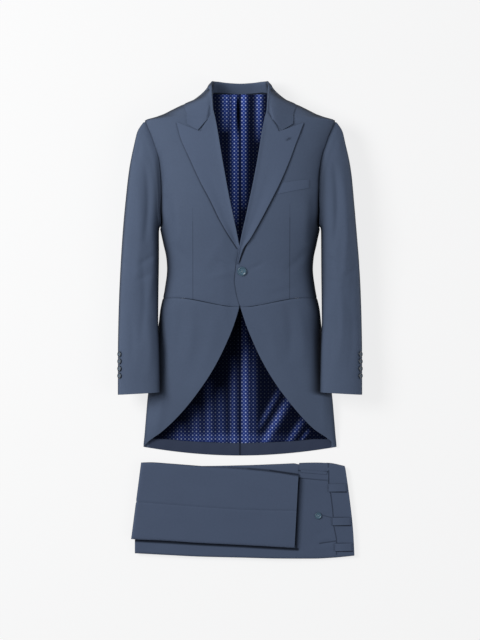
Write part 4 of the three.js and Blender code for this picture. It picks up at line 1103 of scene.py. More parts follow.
@dataclass
class Collar(ClothPiece):
    """Stand and fall in one folded piece, from notch to notch round the neck."""

    stations: tuple[CollarStation, ...] = (
        CollarStation(
            (0, 577.4, 8.2), (0, 598, 11.5), (0, 604, 8.5),
            (0, 601, 3.6), (0, 588, 0.4), (0, 560, 0.2),
        ),
        CollarStation(
            (30, 578.6, 9.8), (30, 599.5, 13.5), (31, 605.5, 10.5),
            (32, 602, 5.4), (36, 588, 0.8), (42, 559, 0.2),
        ),
        CollarStation(
            (54, 580, 20), (52, 600, 24), (56, 607.5, 23),
            (61, 603, 17.5), (70, 585, 9), (84, 556, 3),
        ),
        CollarStation(
            (70, 577, 38), (66, 600, 41), (70, 607.5, 41),
            (75, 602.5, 37), (93, 580, 31), (118, 551, 21),
        ),
        CollarStation(
            (77.5, 568, 60), (70, 590, 62), (73, 598, 62),
            (78, 594, 60), (106, 574, 60), (139, 551, 53),
        ),
        CollarStation(
            (77, 552, 78), (68.7, 568, 84), (72, 574, 86),
            (77, 571, 85), (105, 551, 90), (137, 536, 90),
        ),
        CollarStation(
            (73, 534, 96), (67.4, 542, 104), (70, 545, 107.5),
            (75, 540, 108), (101, 517, 119), (132, 509, 116),
        ),
        CollarStation(
            (67.5, 519, 110), (66, 520, 118), (67.8, 519, 121),
            (75.5, 507.5, 122), (97.8, 474.6, 124), (133, 491.5, 124),
        ),
    )
    marks: tuple[float, ...] = (0, 0.2, 0.32, 0.44, 0.7, 1.0)  # share of the width at which each point lies
    roll_height: float = 4.8  # of the fall's face over the shoulder, at its roll and at its edge
    edge_height: float = 1.6
    end_height: float = 3.3  # of its end at the notch
    end_share: float = 0.09
    thinned: float = 0.55  # share of the wall lost towards the fall's edge, and at the gorge seam
    gorge_thinned: float = 0.7
    sunk: float = 0.3  # how far the gorge seam lies below the collar's face

    def table(self) -> Array:
        """All stations from the wearer's right to the left, as stations by parts by coordinates."""
        left = np.array([list(s) for s in self.stations], float)
        right = left[:0:-1] * np.array([-1, 1, 1])
        return np.concatenate((right, left))

    def surface(self, u: Array, v: Array, out: float) -> Array:
        """The collar's face, and the other face under it, closer to it towards the edge."""
        base = self.sheet_at(u, v)
        gorge = bell(np.minimum(u, 1 - u), 0.01) * within(v, 0.4, 0.46, 0.66, 0.74)
        lost = np.maximum(self.thinned * smooth(0.8, 1, v), self.gorge_thinned * gorge)
        out = out * (1 - lost) - self.sunk * gorge
        step = 0.003
        along = self.sheet_at(u + step, v) - self.sheet_at(u - step, v)
        across = self.sheet_at(u, v + step) - self.sheet_at(u, v - step)
        return base + unit(np.cross(along, across)) * out[..., None]

    def lit(self, outer: Array) -> Array:
        """The stand and the half that faces away from the key lie in a little shade."""
        x, y, z = outer[..., 0], outer[..., 1], outer[..., 2]
        away = smooth(60, 110, x) * smooth(24, 60, z)
        stand = (np.abs(x) < 68) * (z < 60) * (y > 570) * (y < 604)
        return 1 - 0.2 * away - 0.16 * stand

    def sheet_at(self, u: Array, v: Array) -> Array:
        """A point of the sheet: u from notch to notch, v from the stand's foot to the edge of the fall."""
        table = self.table()
        count, parts = table.shape[:2]
        at_u = np.clip(u, 0, 1) * (count - 1)
        at_v = np.interp(np.clip(v, 0, 1), self.marks, np.arange(parts))
        i = np.clip(at_v.astype(int), 0, parts - 2)
        t = at_v - i
        ease = 0.7 * (np.abs(u - 0.5) <= 0.47)  # the ends are cut straight
        spot = np.zeros(np.shape(u) + (3,))
        for axis in range(3):
            columns = (Curve(tuple(range(count)), tuple(table[:, k, axis])) for k in range(parts))
            stack = np.stack([column(at_u) for column in columns])
            around = (np.clip(i + k, 0, parts - 1)[None] for k in (-1, 0, 1, 2))
            p0, p1, p2, p3 = (np.take_along_axis(stack, at, 0)[0] for at in around)
            square, cube = 2 * p0 - 5 * p1 + 4 * p2 - p3, 3 * p1 - p0 - 3 * p2 + p3
            curve = 0.5 * (2 * p1 + (p2 - p0) * t + square * t**2 + cube * t**3)
            spot[..., axis] = lerp(p1 + (p2 - p1) * t, curve, ease)
        return self.clear(spot, u, v)

    def clear(self, spot: Array, u: Array, v: Array) -> Array:
        """Lays the fall down on the shoulders, and moves points that lie in the back out to its surface."""
        x, y, z = np.abs(spot[..., 0]), spot[..., 1], spot[..., 2]
        half, crown, side, rnd = (FORM.read(c, y) for c in ("half", "crown", "side", "round"))
        flat = half - rnd
        above = np.arctan2((x / half) ** (FORM.power / 2), (z - side) / (crown - side)) * 2 / np.pi
        below = 1 + np.arctan2((side - z) / (side - FORM.lift(y)), np.maximum(x - flat, 0) / rnd) * 2 / np.pi
        tau = np.where(z >= side, above, below)
        at_end = smooth(1 - self.end_share, 1, 2 * np.abs(u - 0.5))
        edge_height = lerp(self.edge_height, self.end_height, at_end)
        bed = FORM.place(1, tau, y, lerp(self.roll_height, edge_height, smooth(0.44, 0.95, v)))
        inside = np.hypot(x, z - side) < np.hypot(bed[..., 0], bed[..., 2] - side)
        used = inside & (v > 0.44) & (y < NECK_SEAM) & ~((x < flat) & (z < side))
        settled = smooth(0.4, 0.6, v) * smooth(30, 56, z)
        share = np.where(used, np.maximum(settled, smooth(0.44, 0.5, v)), settled)
        bed[..., 0] *= np.where(spot[..., 0] < 0, -1, 1)
        return lerp(spot, bed, share[..., None])


# Sleeves


class SleeveRing(NamedTuple):
    """One ring of the sleeve: its outer and inner edge, middle height and half thickness."""

    outer_x: float
    outer_y: float
    inner_x: float
    inner_y: float
    middle: float
    half: float


@dataclass(frozen=True)
class SleeveForm:
    """The sleeve's tube: angle 0 at its outer edge, a quarter turn up on top."""

    rings: tuple[SleeveRing, ...] = table_of(
        SleeveRing,
        (249, 503.6, 203.6, 234, 62, 44), (264, 468, 205, 229.5, 62, 45), (281, 391, 205.2, 227, 62, 46),
        (291, 298, 205.4, 223, 62, 46), (298, 215, 205.6, 208, 61, 45), (303, 140, 206, 137, 58, 43),
        (307, 60, 207, 60, 54, 40), (309, -4, 207.6, -4, 53, 37), (310, -76, 204.8, -74, 59, 33),
        (310, -140, 203.4, -136, 62, 30), (310, -190, 202.5, -184, 63, 28),
    )
    squareness: float = 2.3
    cap_rings: float = 4
    gap: float = 1.3

    def column(self, name: str, f: Array) -> Array:
        """One column of the rings at a share f of the sleeve."""
        at = tuple(i / (len(self.rings) - 1) for i in range(len(self.rings)))
        return Curve(at, tuple(getattr(r, name) for r in self.rings))(f)

    def ring(self, f: Array, angle: Array) -> Array:
        """The plain tube, before its head is fitted to the armhole."""
        power = 2 / self.squareness
        along = np.sign(np.cos(angle)) * np.abs(np.cos(angle)) ** power
        up = np.sign(np.sin(angle)) * np.abs(np.sin(angle)) ** power
        ox, oy, ix, iy, mid, half = (self.column(c, f) for c in SleeveRing._fields)
        x = (ox + ix) / 2 + (ox - ix) / 2 * along
        y = (oy + iy) / 2 + (oy - iy) / 2 * along
        return np.stack((x, y, mid + half * up), -1)

    def armhole(self, angle: Array) -> Array:
        """A point of the armhole's edge."""
        middle = (FORM.armhole_top + FORM.armhole_bottom) / 2
        half = (FORM.armhole_top - FORM.armhole_bottom) / 2 - 0.5
        y = middle + half * np.cos(angle)
        tau = np.where(np.sin(angle) >= 0, FORM.armhole_front(y), FORM.armhole_back(y))
        return FORM.point(tau, y) + np.array([self.gap, 0, 0])

    def point(self, f: Array, angle: Array) -> Array:
        """A point of the sleeve on the wearer's left."""
        fade = (1 - np.clip(f * (len(self.rings) - 1) / self.cap_rings, 0, 1)) ** 2
        shift = self.armhole(angle) - self.ring(np.zeros_like(f), angle)
        return self.ring(f, angle) + shift * fade[..., None]

    def place(self, f: Array, angle: Array, out: Array | float) -> Array:
        """The point at f and angle, moved out along the sleeve's normal."""
        step = 0.004
        along = self.point(np.clip(f + step, 0, 1), angle) - self.point(np.clip(f - step, 0, 1), angle)
        across = self.point(f, angle + step) - self.point(f, angle - step)
        normal = unit(np.cross(across, along))
        return self.point(f, angle) + normal * np.broadcast_to(out, np.shape(f))[..., None]


SLEEVE = SleeveForm()


@dataclass
class SleeveHalf(ClothPiece):
    """The top or under half of a sleeve, with its long soft folds and the wrinkles at the elbow."""

    side: Wearer = Wearer.LEFT
    start: float = 0.0
    end: float = np.pi
    folds: tuple[Fold, ...] = ()
    fold_share: float = 1.35
    head_roll: float = 1.1  # how far the sleeve head stands up beside its seam
    inner_edge: float = 205.0
    head_fullness: float = 3.6  # how far it stands out at the shoulder
    tuck_depth: float = 1.3
    tuck_inwards: float = 3.6
    middle_width: float = 140.0
    seam_width: float = 2.4

    def surface(self, u: Array, v: Array, out: float) -> Array:
        """The half's face, with its folds."""
        angle = lerp(self.start + 0.004, self.end - 0.004, u)
        spot = SLEEVE.point(v, angle)
        rise = self.fold_share * folded(self.folds, spot[..., 0] * self.side.value, spot[..., 1])
        seam = bell(np.minimum(u, 1 - u) * self.middle_width, self.seam_width)
        rise = rise * smooth(0, 0.03, v) * smooth(0, 0.06, 1 - v) - 0.8 * seam
        head = self.head_roll * bell(v - 0.03, 0.022)
        tuck = 1 - smooth(0, 0.008, v)  # the seam allowance goes in under the body's edge
        head = head * np.clip(np.sin(angle) + 0.2, 0, 1) - self.tuck_depth * tuck
        made = SLEEVE.place(v, angle, out + rise + head)
        fullness = self.head_fullness * bell(v - 0.07, 0.055) * np.clip(np.cos(angle), 0, 1)
        made[..., 0] += fullness - self.tuck_inwards * tuck
        made[..., 0] *= self.side.value
        return made

    def lit(self, outer: Array) -> Array:
        """The inner edge lies in the shade of the body, deepest at the armpit."""
        x, y = np.abs(outer[..., 0]), outer[..., 1]
        inset = np.maximum(x - self.inner_edge, 0)
        high = within(y, *SLEEVE_SHADED)
        return 1 - (0.2 + 0.25 * high) * bell(inset, 4 + 7 * high)


# Folds of the sleeves, on the wearer's right and left
RIGHT_SLEEVE_FOLDS = rows_of(
    Fold,
    (-238, 400, -240, 190, -3.2, 9), (-262, 380, -268, 60, 1.6, 11), (-222, 250, -232, 40, 1.9, 9),
    (-248, 170, -254, -70, -1.7, 9), (-212, 168, -258, 138, -1.6, 7), (-214, 124, -270, 96, -1.3, 8),
    (-296, 150, -262, 118, -1.0, 8), (-278, 20, -276, -120, -1.2, 9), (-236, 20, -232, -150, 1.2, 10),
    (-252, 470, -262, 400, -1.4, 8),
)
LEFT_SLEEVE_FOLDS = rows_of(
    Fold,
    (236, 404, 236, 180, -3.4, 9), (256, 390, 256, 80, 2.2, 9), (276, 360, 280, 40, -2.0, 9),
    (222, 230, 224, 20, -1.4, 8), (248, 120, 250, -110, 2.0, 9), (278, 60, 276, -130, -1.6, 10),
    (214, 160, 262, 126, -1.5, 7), (300, 140, 262, 106, -1.2, 8), (218, 104, 256, 88, -1.0, 7),
    (224, 10, 222, -150, -1.2, 8), (252, 474, 264, 402, -1.3, 8),
)


@dataclass
class Sleeves:
    """Both sleeves, each of a top and an under half."""

    worsted: WorstedWool = WorstedWool(name="wool_worsted_sleeve")

    def dress(self) -> None:
        """Builds and dresses the four halves."""
        material = self.worsted.build()
        for side, folds in ((Wearer.RIGHT, RIGHT_SLEEVE_FOLDS), (Wearer.LEFT, LEFT_SLEEVE_FOLDS)):
            for part, start, end, step in (("top", 0.0, np.pi, 3.8), ("under", -np.pi, 0.0, 7.0)):
                half = SleeveHalf(
                    node=f"{part}_sleeve_{side.word}", step=step, side=side,
                    start=start, end=end, folds=folds,
                )
                half.dress(half.build(), material)


# Linings


@dataclass
class LiningPiece(ClothPiece):
    """A lining inside the back or the tails, with its own soft folds."""

    side: Wearer = Wearer.LEFT
    wall: float = LINING
    folds: tuple[Fold, ...] = ()
    edges: tuple[Profile, Profile] = (lambda x: x, lambda x: x)
    reach: Profile = lambda y: y
    base: Surface = lambda x, y: y
    fade: Pair = (0.1, 0.1)
    lights: tuple[Fold, ...] = ()
    base_lit: float = 1.0
    seam_shade: float = 0.8
    seam_width: float = 2.0
    widest: float = 200.0  # past the end of any row

    def surface(self, u: Array, v: Array, out: float) -> Array:
        """The lining's face: folds stand up from the cloth that it lies on."""
        low, high = self.edges
        near_x = lerp(SEAM_GAP / 2, self.widest, u)
        near_y = lerp(low(near_x), high(near_x), v)
        x = lerp(SEAM_GAP / 2, self.reach(near_y), u)
        y = lerp(low(x), high(x), v)
        hand = self.side.value
        calm = smooth(0, self.fade[0], v) * smooth(0, self.fade[1], 1 - v) * smooth(0, 0.12, 1 - u)
        rise = np.maximum(folded(self.folds, x * hand, y), 0) * calm
        rise = rise + 0.5 * calm * (1 + np.sin(x * hand / 7.3 + y / 90) * np.cos(y / 47))
        return np.stack((x * hand, y, self.base(x, y) + rise + out), -1)

    def pattern(self, outer: Array) -> Array:
        """The figures follow the cloth's grain, straight up and across the piece."""
        return outer[..., :2] * MM

    def lit(self, outer: Array) -> Array:
        """Ridges lie open to the light, and the cloth between them and at the centre seam in shade."""
        x, y = outer[..., 0], outer[..., 1]
        light = np.full(x.shape, self.base_lit)
        for fold in self.lights:
            light = light + fold.rise(x, y)
        return np.clip(light, 0, 1) * (1 - self.seam_shade * bell(x, self.seam_width))


def facing_top(x: Array) -> Array:
    """Height of the seam between hem facing and lining."""
    return Curve((0, 120, 190), (-317, -312, -306))(x)


def hem_line(x: Array) -> Array:
    """Height of the tails' hem."""
    return lerp(HEM_CENTRE, HEM_SIDE, (x / 245) ** 2)


def inside_back(x: Array, y: Array) -> Array:
    """Height of the back's inner face."""
    spot = FORM.place(1, FORM.back_tau(x, y), y, -(CLOTH + SEAM_GAP + 0.6 + 2.2 * smooth(490, 535, y)))
    return spot[..., 2]


NECK_LIGHTS = rows_of(
    Light,
    (-37, 690, -36, 478, 0.85, 10), (-14, 740, -12, 240, 0.95, 9), (9, 740, 9, 280, 1.0, 7.5),
    (49, 700, 48, 452, 0.75, 8), (-7, 582, -6, 470, -0.8, 5),
)
TAIL_LIGHTS = rows_of(
    Light,
    (12, 60, 14, -640, 0.95, 10), (34, 0, 36, -640, 0.3, 8), (-16, -90, -17, -640, 0.62, 9),
    (-50, -170, -46, -560, 0.45, 13), (-80, -150, -80, -640, 0.55, 11), (-112, -215, -112, -620, 0.55, 16),
    (-152, -258, -152, -560, 0.5, 16), (130, -194, 40, -353, 0.95, 9), (106, -170, 45, -283, 0.45, 6),
    (168, -246, 105, -342, 0.6, 7), (178, -280, 150, -318, 0.4, 4), (-190, -304, 130, -304, 0.3, 12),
)
NECK_LINING_FOLDS = rows_of(
    Fold,
    (-36, 600, -36, 380, 3.2, 10, 0.0), (-13, 600, -12, 240, 3.4, 9, 0.0), (10, 600, 9, 250, 3.6, 8, 0.0),
    (50, 600, 47, 430, 2.6, 9, 0.0),
)
TAIL_LINING_FOLDS = rows_of(
    Fold,
    (14, 40, 14, -330, 4.2, 12, 0.0), (-17, -60, -17, -330, 2.8, 11, 0.0), (-66, -140, -68, -330, 2.6, 16),
    (-112, -190, -108, -330, 2.2, 16), (104, -160, 56, -270, 3.0, 8, 0.0),
    (128, -196, 62, -316, 4.4, 10, 0.0), (168, -240, 122, -316, 3.4, 8, 0.0),
    (-168, -240, -150, -320, 1.8, 14),
)


@dataclass
class Linings:
    """Back linings, tail linings and hem facings of both sides."""

    lining: FoulardLining = FoulardLining()
    # A glowing copy of the lining for the neck opening: its emission is painted light
    neck: FoulardLining = FoulardLining(name="viscose_lining_foulard_neck", glow=0.42)
    # A darker copy of the coat's worsted for the hem facings: painted shade inside the tails
    worsted: WorstedWool = WorstedWool(
        name="wool_worsted_facing", colour="#414b63", deep="#39435a",
        lines=(Line((0, -352), (0, -300), 1.0, 0.6),),
    )

    def pieces(self, side: Wearer) -> list[LiningPiece]:
        """The three inner pieces of one side."""
        word = side.word
        back = LiningPiece(
            node=f"back_lining_{word}", side=side, step=3.8,
            slot=Slot.LINING, folds=NECK_LINING_FOLDS, rests_on=(f"back_{word}",), fade=(0.1, 0.05),
            edges=(lambda x: 58 + x * 0, lambda x: NECK_SEAM - 1 + x * 0),
            reach=lambda y: np.clip(FORM.read("half", y) - 66, 74, 140),
            base=lambda x, y: inside_back(x, y) + LINING, lights=NECK_LIGHTS, base_lit=0.05,
        )
        tail = LiningPiece(
            node=f"tail_lining_{word}", side=side, step=3.2,
            slot=Slot.LINING, folds=TAIL_LINING_FOLDS, rests_on=(f"back_{word}",), fade=(0.1, 0.06),
            edges=(lambda x: facing_top(x) + SEAM_GAP, lambda x: 40 + x * 0),
            reach=lambda y: FORM.read("half", y) - FORM.read("round", y) - 4,
            base=lambda x, y: CLOTH + SEAM_GAP + LINING + x * 0, lights=TAIL_LIGHTS, base_lit=0.04,
        )
        facing = LiningPiece(
            node=f"hem_facing_{word}", side=side, step=4.0,
            rests_on=(f"back_{word}",), fade=(0.3, 0.3),
            edges=(lambda x: hem_line(x) + 1, lambda x: facing_top(x) - SEAM_GAP),
            reach=lambda y: FORM.read("half", y) - 14 + y * 0,
            base=lambda x, y: CLOTH + SEAM_GAP + LINING + x * 0,
        )
        return [back, tail, facing]

    def dress(self) -> None:
        """Builds and dresses the six pieces."""
        cloth = [self.neck.build(), self.lining.build(), self.worsted.build()]
        for side in Wearer:
            for piece, material in zip(self.pieces(side), cloth):
                piece.dress(piece.build(), material)


@dataclass
class Revers:
    """Lapels, collar and breast welt."""

    worsted: WorstedWool = WorstedWool(name="wool_worsted_lapel", colour="#61708b", deep="#58667f")

    def dress(self) -> None:
        """Builds and dresses the pieces that lie on the fronts."""
        material = self.worsted.build()
        for edges in (RIGHT_EDGES, LEFT_EDGES):
            word = edges.side.word
            lapel = Lapel(
                node=f"lapel_{word}", step=2.9, out=CLOTH, roll=0.3,
                edges=edges, held=Held.FOLDED, rests_on=(f"front_{word}",),
            )
            lapel.dress(lapel.build(), material)
        collar = Collar(node="collar", step=3.0, roll=0.3, held=Held.FOLDED)
        collar.dress(collar.build(), material)
        welt = BreastWelt(node="breast_welt", step=2.4, wall=0.9, out=0.9, roll=0.3, rests_on=("front_left",))
        welt.dress(welt.build(), material)


# Buttons and thread


@dataclass(frozen=True)
class ButtonSize:
    """Sizes of a button in millimetres."""

    radius: float
    thickness: float
    hole_radius: float
    hole_reach: float  # from the centre to a hole
    sides: int = 64
    dish_floor: float = 0.62  # height of the dish, in thicknesses

    def profile(self) -> Array:
        """Radius and height from the back's centre over the rim to the dish."""
        r, t = self.radius, self.thickness
        shares = (
            (0, 0), (0.6, 0), (0.82, 0.02), (0.93, 0.12), (0.985, 0.3), (1, 0.48), (0.985, 0.7),
            (0.94, 0.87), (0.87, 0.97), (0.8, 1), (0.74, 0.97), (0.68, 0.86), (0.63, 0.74), (0.56, 0.67),
            (0.4, 0.64), (0, self.dish_floor),
        )
        return np.array([(a * r, b * t) for a, b in shares])


def plain_mesh(name: str, points: Array, faces: Sequence, edges: Sequence = ()) -> Mesh:
    """A mesh from points in millimetres."""
    mesh = bpy.data.meshes.new(name)
    mesh.from_pydata((points * MM).tolist(), edges, faces)
    mesh.update()
    return mesh


def lathe(name: str, profile: Array, sides: int) -> Object:
    """Turns a profile of radius and height round Z; the profile starts and ends on the axis."""
    ring = profile[1:-1]
    turn = np.arange(sides) * 2 * np.pi / sides
    circle = np.stack((np.cos(turn), np.sin(turn)), -1)
    points = [np.concatenate((circle * r, np.full((sides, 1), z)), 1) for r, z in ring]
    low, high = len(ring) * sides, len(ring) * sides + 1
    points.append(np.array([[0, 0, profile[0, 1]], [0, 0, profile[-1, 1]]]))
    faces: list[list[int]] = []
    for i in range(sides):
        j = (i + 1) % sides
        faces.append([low, j, i])
        for k in range(len(ring) - 1):
            faces.append([k * sides + i, k * sides + j, (k + 1) * sides + j, (k + 1) * sides + i])
        top = (len(ring) - 1) * sides
        faces.append([top + i, top + j, high])
    return link(name, plain_mesh(name, np.concatenate(points), faces))


def evaluated_mesh(made: Object) -> Mesh:
    """The object's mesh with its modifiers applied."""
    depsgraph = bpy.context.evaluated_depsgraph_get()
    depsgraph.update()
    return bpy.data.meshes.new_from_object(made.evaluated_get(depsgraph))


def tube(path: Array, radius: float, sides: int = 8) -> tuple[Array, list[list[int]]]:
    """Points and faces of a closed round tube along a path, in the path's unit."""
    along = np.gradient(path, axis=0)
    along /= np.linalg.norm(along, axis=1, keepdims=True)
    helper = np.array([0.3, 0.2, 0.93])
    side = np.cross(along, helper)
    side /= np.linalg.norm(side, axis=1, keepdims=True)
    up = np.cross(side, along)
    turn = np.arange(sides) * 2 * np.pi / sides
    rings = path[:, None] + radius * (
        side[:, None] * np.cos(turn)[None, :, None] + up[:, None] * np.sin(turn)[None, :, None]
    )
    points = np.concatenate((rings.reshape(-1, 3), path[:1], path[-1:]))
    first, last = len(points) - 2, len(points) - 1
    end = (len(path) - 1) * sides
    faces = [[first, (i + 1) % sides, i] for i in range(sides)]
    faces += [[last, end + i, end + (i + 1) % sides] for i in range(sides)]
    for k in range(len(path) - 1):
        for i in range(sides):
            j = (i + 1) % sides
            faces.append([k * sides + i, k * sides + j, (k + 1) * sides + j, (k + 1) * sides + i])
    return points, faces


@dataclass
class SewnButton:
    """A four-hole button and the crossed thread that holds it."""

    node: str
    size: ButtonSize
    spot: Array
    normal: Array
    turn: float
    resin: Material
    thread: Material
    strands: int = 3
    strand_mm: float = 0.55
    drill_sides: int = 20
    sharp: float = 50.0  # degrees past which an edge stays sharp

    def frame_matrix(self) -> Matrix:
        """Turns the button's own axes to its place on the cloth."""
        axis = Vector(self.normal).normalized()
        turned = axis.to_track_quat("Z", "Y").to_matrix().to_4x4()
        spin = Matrix.Rotation(self.turn, 4, "Z")
        return Matrix.Translation(Vector(self.spot * MM) + axis * SEAM_GAP * MM) @ turned @ spin

    def holes(self) -> list[Pair]:
        """Centres of the four holes."""
        d = self.size.hole_reach / np.sqrt(2)
        return [(d, d), (-d, d), (-d, -d), (d, -d)]

    def build(self) -> Object:
        """Turns the disc and drills its holes."""
        size = self.size
        disc = lathe(f"{self.node}_disc", size.profile(), size.sides)
        for x, y in self.holes():
            low, high, radius = -size.thickness, 2 * size.thickness, size.hole_radius
            rod = np.array([(0, low), (radius, low), (radius, high), (0, high)])
            drill = lathe("drill", rod, self.drill_sides)
            drill.data.transform(Matrix.Translation((x * MM, y * MM, 0)))
            cut = disc.modifiers.new("hole", "BOOLEAN")
            cut.operation, cut.solver, cut.object = "DIFFERENCE", "EXACT", drill
            mesh = evaluated_mesh(disc)
            disc.modifiers.remove(cut)
            disc.data = mesh
            bpy.data.objects.remove(drill)
        self.mark_dish(disc)
        disc.data.transform(self.frame_matrix())
        disc.data.shade_smooth()
        disc.data.set_sharp_from_angle(angle=np.radians(self.sharp))
        return disc

    def mark_dish(self, disc: Object) -> None:
        """Notes how far each vertex lies in the dish, where a painted highlight makes it lighter."""
        spots = np.zeros(len(disc.data.vertices) * 3)
        disc.data.vertices.foreach_get("co", spots)
        spots = spots.reshape(-1, 3) / MM
        light = 1 - smooth(0.5, 0.68, np.hypot(spots[:, 0], spots[:, 1]) / self.size.radius)
        disc.data.attributes.new("lit", "FLOAT", "POINT").data.foreach_set("value", light)

    def cross(self) -> Object:
        """The thread, in two bundles that cross over the dish."""
        size, points, faces = self.size, [], []
        floor = size.thickness * size.dish_floor
        for layer, (a, b) in enumerate(((0, 2), (1, 3))):
            start, end = np.array(self.holes()[a]), np.array(self.holes()[b])
            along = (end - start) / np.linalg.norm(end - start)
            across = np.array([-along[1], along[0]])
            for k in range(self.strands):
                aside = across * (k - (self.strands - 1) / 2) * self.strand_mm * 0.85
                t = np.linspace(0, 1, 15)
                flat = start + (end - start) * t[:, None] + aside
                rise = floor + self.strand_mm * (0.45 + layer * 0.8) * np.sin(np.pi * t) ** 0.6
                rise -= (floor + 0.1) * (bell(t, 0.05) + bell(1 - t, 0.05))
                spots, made = tube(np.concatenate((flat, rise[:, None]), 1), self.strand_mm / 2)
                shift = sum(len(p) for p in points)
                points.append(spots)
                faces += [[i + shift for i in f] for f in made]
        mesh = plain_mesh(f"{self.node}_thread", np.concatenate(points), faces)
        mesh.transform(self.frame_matrix())
        mesh.shade_smooth()
        return link(mesh.name, mesh)

    def dress(self) -> None:
        """Builds both parts and hangs them on the body's empty."""
        disc = self.build()
        disc.data.materials.clear()
        disc.data.materials.append(self.resin)
        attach(disc, BODY)
        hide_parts(self.node)
        cross = self.cross()
        cross.data.materials.append(self.thread)
        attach(cross, BODY)
        log.info("%s: %d faces", disc.name, len(disc.data.polygons))


@dataclass
class Buttons:
    """The front button, four at each cuff and the one of the hip pocket."""

    front: ButtonSize = ButtonSize(11.8, 4.0, 1.15, 3.3)
    cuff: ButtonSize = ButtonSize(7.5, 3.0, 0.75, 2.1, 48)
    pocket: ButtonSize = ButtonSize(8.8, 3.2, 0.85, 2.4, 48)
    front_spot: Pair = (5, 122)
    cuff_first: float = -87
    cuff_pitch: float = 18.2
    cuff_angle: float = 0.52
    pocket_spot: Pair = (200, -501)

    def dress(self) -> None:
        """Places and dresses all ten buttons."""
        resin, thread = ButtonResin().build(), SewingThread().build()
        # A darker copy of the resin for the cuff buttons: painted shade, as they lie at a slant on the sleeves,
        # with a painted highlight in the dish
        dark = ButtonResin("polyester_button_navy", "#2b3a4c", "#141d2a", "#6c8093").build()
        x, y = (np.array([c], float) for c in self.front_spot)
        tau = FORM.front_tau(x, y)
        low, high = FORM.place(1, tau, y, 0.0)[0], FORM.place(1, tau, y, 1.0)[0]
        SewnButton("front_button", self.front, low, high - low, 0.18, resin, thread).dress()
        for side in Wearer:
            for index in range(4):
                low, high = self.cuff_place(self.cuff_first - index * self.cuff_pitch)
                hand = np.array([side.value, 1, 1])
                name = f"cuff_button_{side.word}_{index + 1}"
                turn = 0.5 + 0.7 * index + 0.3 * side.value
                SewnButton(name, self.cuff, low * hand, (high - low) * hand, turn, dark, thread).dress()
        px, py = self.pocket_spot
        bed = np.array([px, py, float(leg_top(px)) + SEAM_GAP])
        SewnButton("pocket_button", self.pocket, bed, np.array([0.0, 0, 1]), 0.4, resin, thread).dress()

    def cuff_place(self, y: float) -> tuple[Array, Array]:
        """The point of the sleeve at height y under the buttons, and a point a millimetre above it."""
        f = np.linspace(0.6, 1, 401)
        angle = np.full_like(f, self.cuff_angle)
        at = int(np.argmax(SLEEVE.point(f, angle)[:, 1] <= y))
        f, angle = f[at : at + 1], angle[at : at + 1]
        return SLEEVE.place(f, angle, 0.0)[0], SLEEVE.place(f, angle, 1.0)[0]


# Stitches


@dataclass
class StitchRow:
    """Equal stitches along a path, made by Geometry Nodes from a polyline."""

    name: str
    paths: tuple[Array, ...]  # points in millimetres, each path one line of the garment
    pitch_mm: float
    length_mm: float
    width_mm: float
    turn: float = 0.0  # angle of a stitch to its line
    unevenness: float = 0.12  # of that angle, by hand
    seed: int = 7

    def host(self) -> Object:
        """The lines that carry the stitches."""
        edges, at = [], 0
        for path in self.paths:
            edges += [(at + i, at + i + 1) for i in range(len(path) - 1)]
            at += len(path)
        return link(self.name, plain_mesh(self.name, np.concatenate(self.paths), [], edges))

    def tree(self, material: Material) -> Tree:
        """Curve to Points at the pitch, one rounded stitch on each, turned along the line."""
        tree = bpy.data.node_groups.new(f"{self.name}_tree", "GeometryNodeTree")
        face = tree.interface
        face.new_socket("Line", in_out="INPUT", socket_type="NodeSocketGeometry")
        for label, kind in (("Pitch", "Float"), ("Size", "Vector"), ("Turn", "Float")):
            face.new_socket(label, in_out="INPUT", socket_type=f"NodeSocket{kind}")
        face.new_socket("Stitches", in_out="OUTPUT", socket_type="NodeSocketGeometry")
        given = add(tree, "NodeGroupInput").outputs
        curve = add(tree, "GeometryNodeMeshToCurve", {0: given["Line"]}).outputs[0]
        line = {0: curve, "Length": given["Pitch"]}
        spots = add(tree, "GeometryNodeCurveToPoints", line, mode="LENGTH").outputs
        ball = {"Segments": 10, "Rings": 6, "Radius": 0.5}
        bead = add(tree, "GeometryNodeMeshUVSphere", ball).outputs["Mesh"]
        loose = {2: -self.unevenness, 3: self.unevenness, "Seed": self.seed}
        jitter = add(tree, "FunctionNodeRandomValue", loose, data_type="FLOAT").outputs[1]
        angle = reckon(tree, "ADD", given["Turn"], jitter)
        spin = add(tree, "ShaderNodeCombineXYZ", {2: angle}).outputs[0]
        tangent = {"Vector": spots["Tangent"]}
        facing = add(tree, "FunctionNodeAlignRotationToVector", tangent, axis="X").outputs[0]
        along = {"Rotation": facing, "Rotate By": spin}
        turned = add(tree, "FunctionNodeRotateRotation", along, rotation_space="LOCAL").outputs[0]
        placed = {"Points": spots["Points"], "Instance": bead, "Rotation": turned, "Scale": given["Size"]}
        stitches = add(tree, "GeometryNodeInstanceOnPoints", placed).outputs[0]
        real = add(tree, "GeometryNodeRealizeInstances", {0: stitches}).outputs[0]
        threaded = add(tree, "GeometryNodeSetMaterial", {0: real, "Material": material}).outputs[0]
        add(tree, "NodeGroupOutput", {0: threaded})
        return tree

    def dress(self, material: Material) -> None:
        """Makes the stitches real and hangs them on the body's empty."""
        made = self.host()
        modifier = made.modifiers.new("stitches", "NODES")
        modifier.node_group = self.tree(material)
        values = {
            "Pitch": self.pitch_mm * MM,
            "Size": tuple(v * MM for v in (self.length_mm, self.width_mm, self.width_mm)),
            "Turn": self.turn,
        }
        for item in modifier.node_group.interface.items_tree:
            if item.item_type == "SOCKET" and item.in_out == "INPUT" and item.name in values:
                modifier[item.identifier] = values[item.name]
        mesh = evaluated_mesh(made)
        made.modifiers.remove(modifier)
        made.data = mesh
        mesh.shade_smooth()
        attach(made, BODY)
        log.info("%s: %d faces", made.name, len(mesh.polygons))


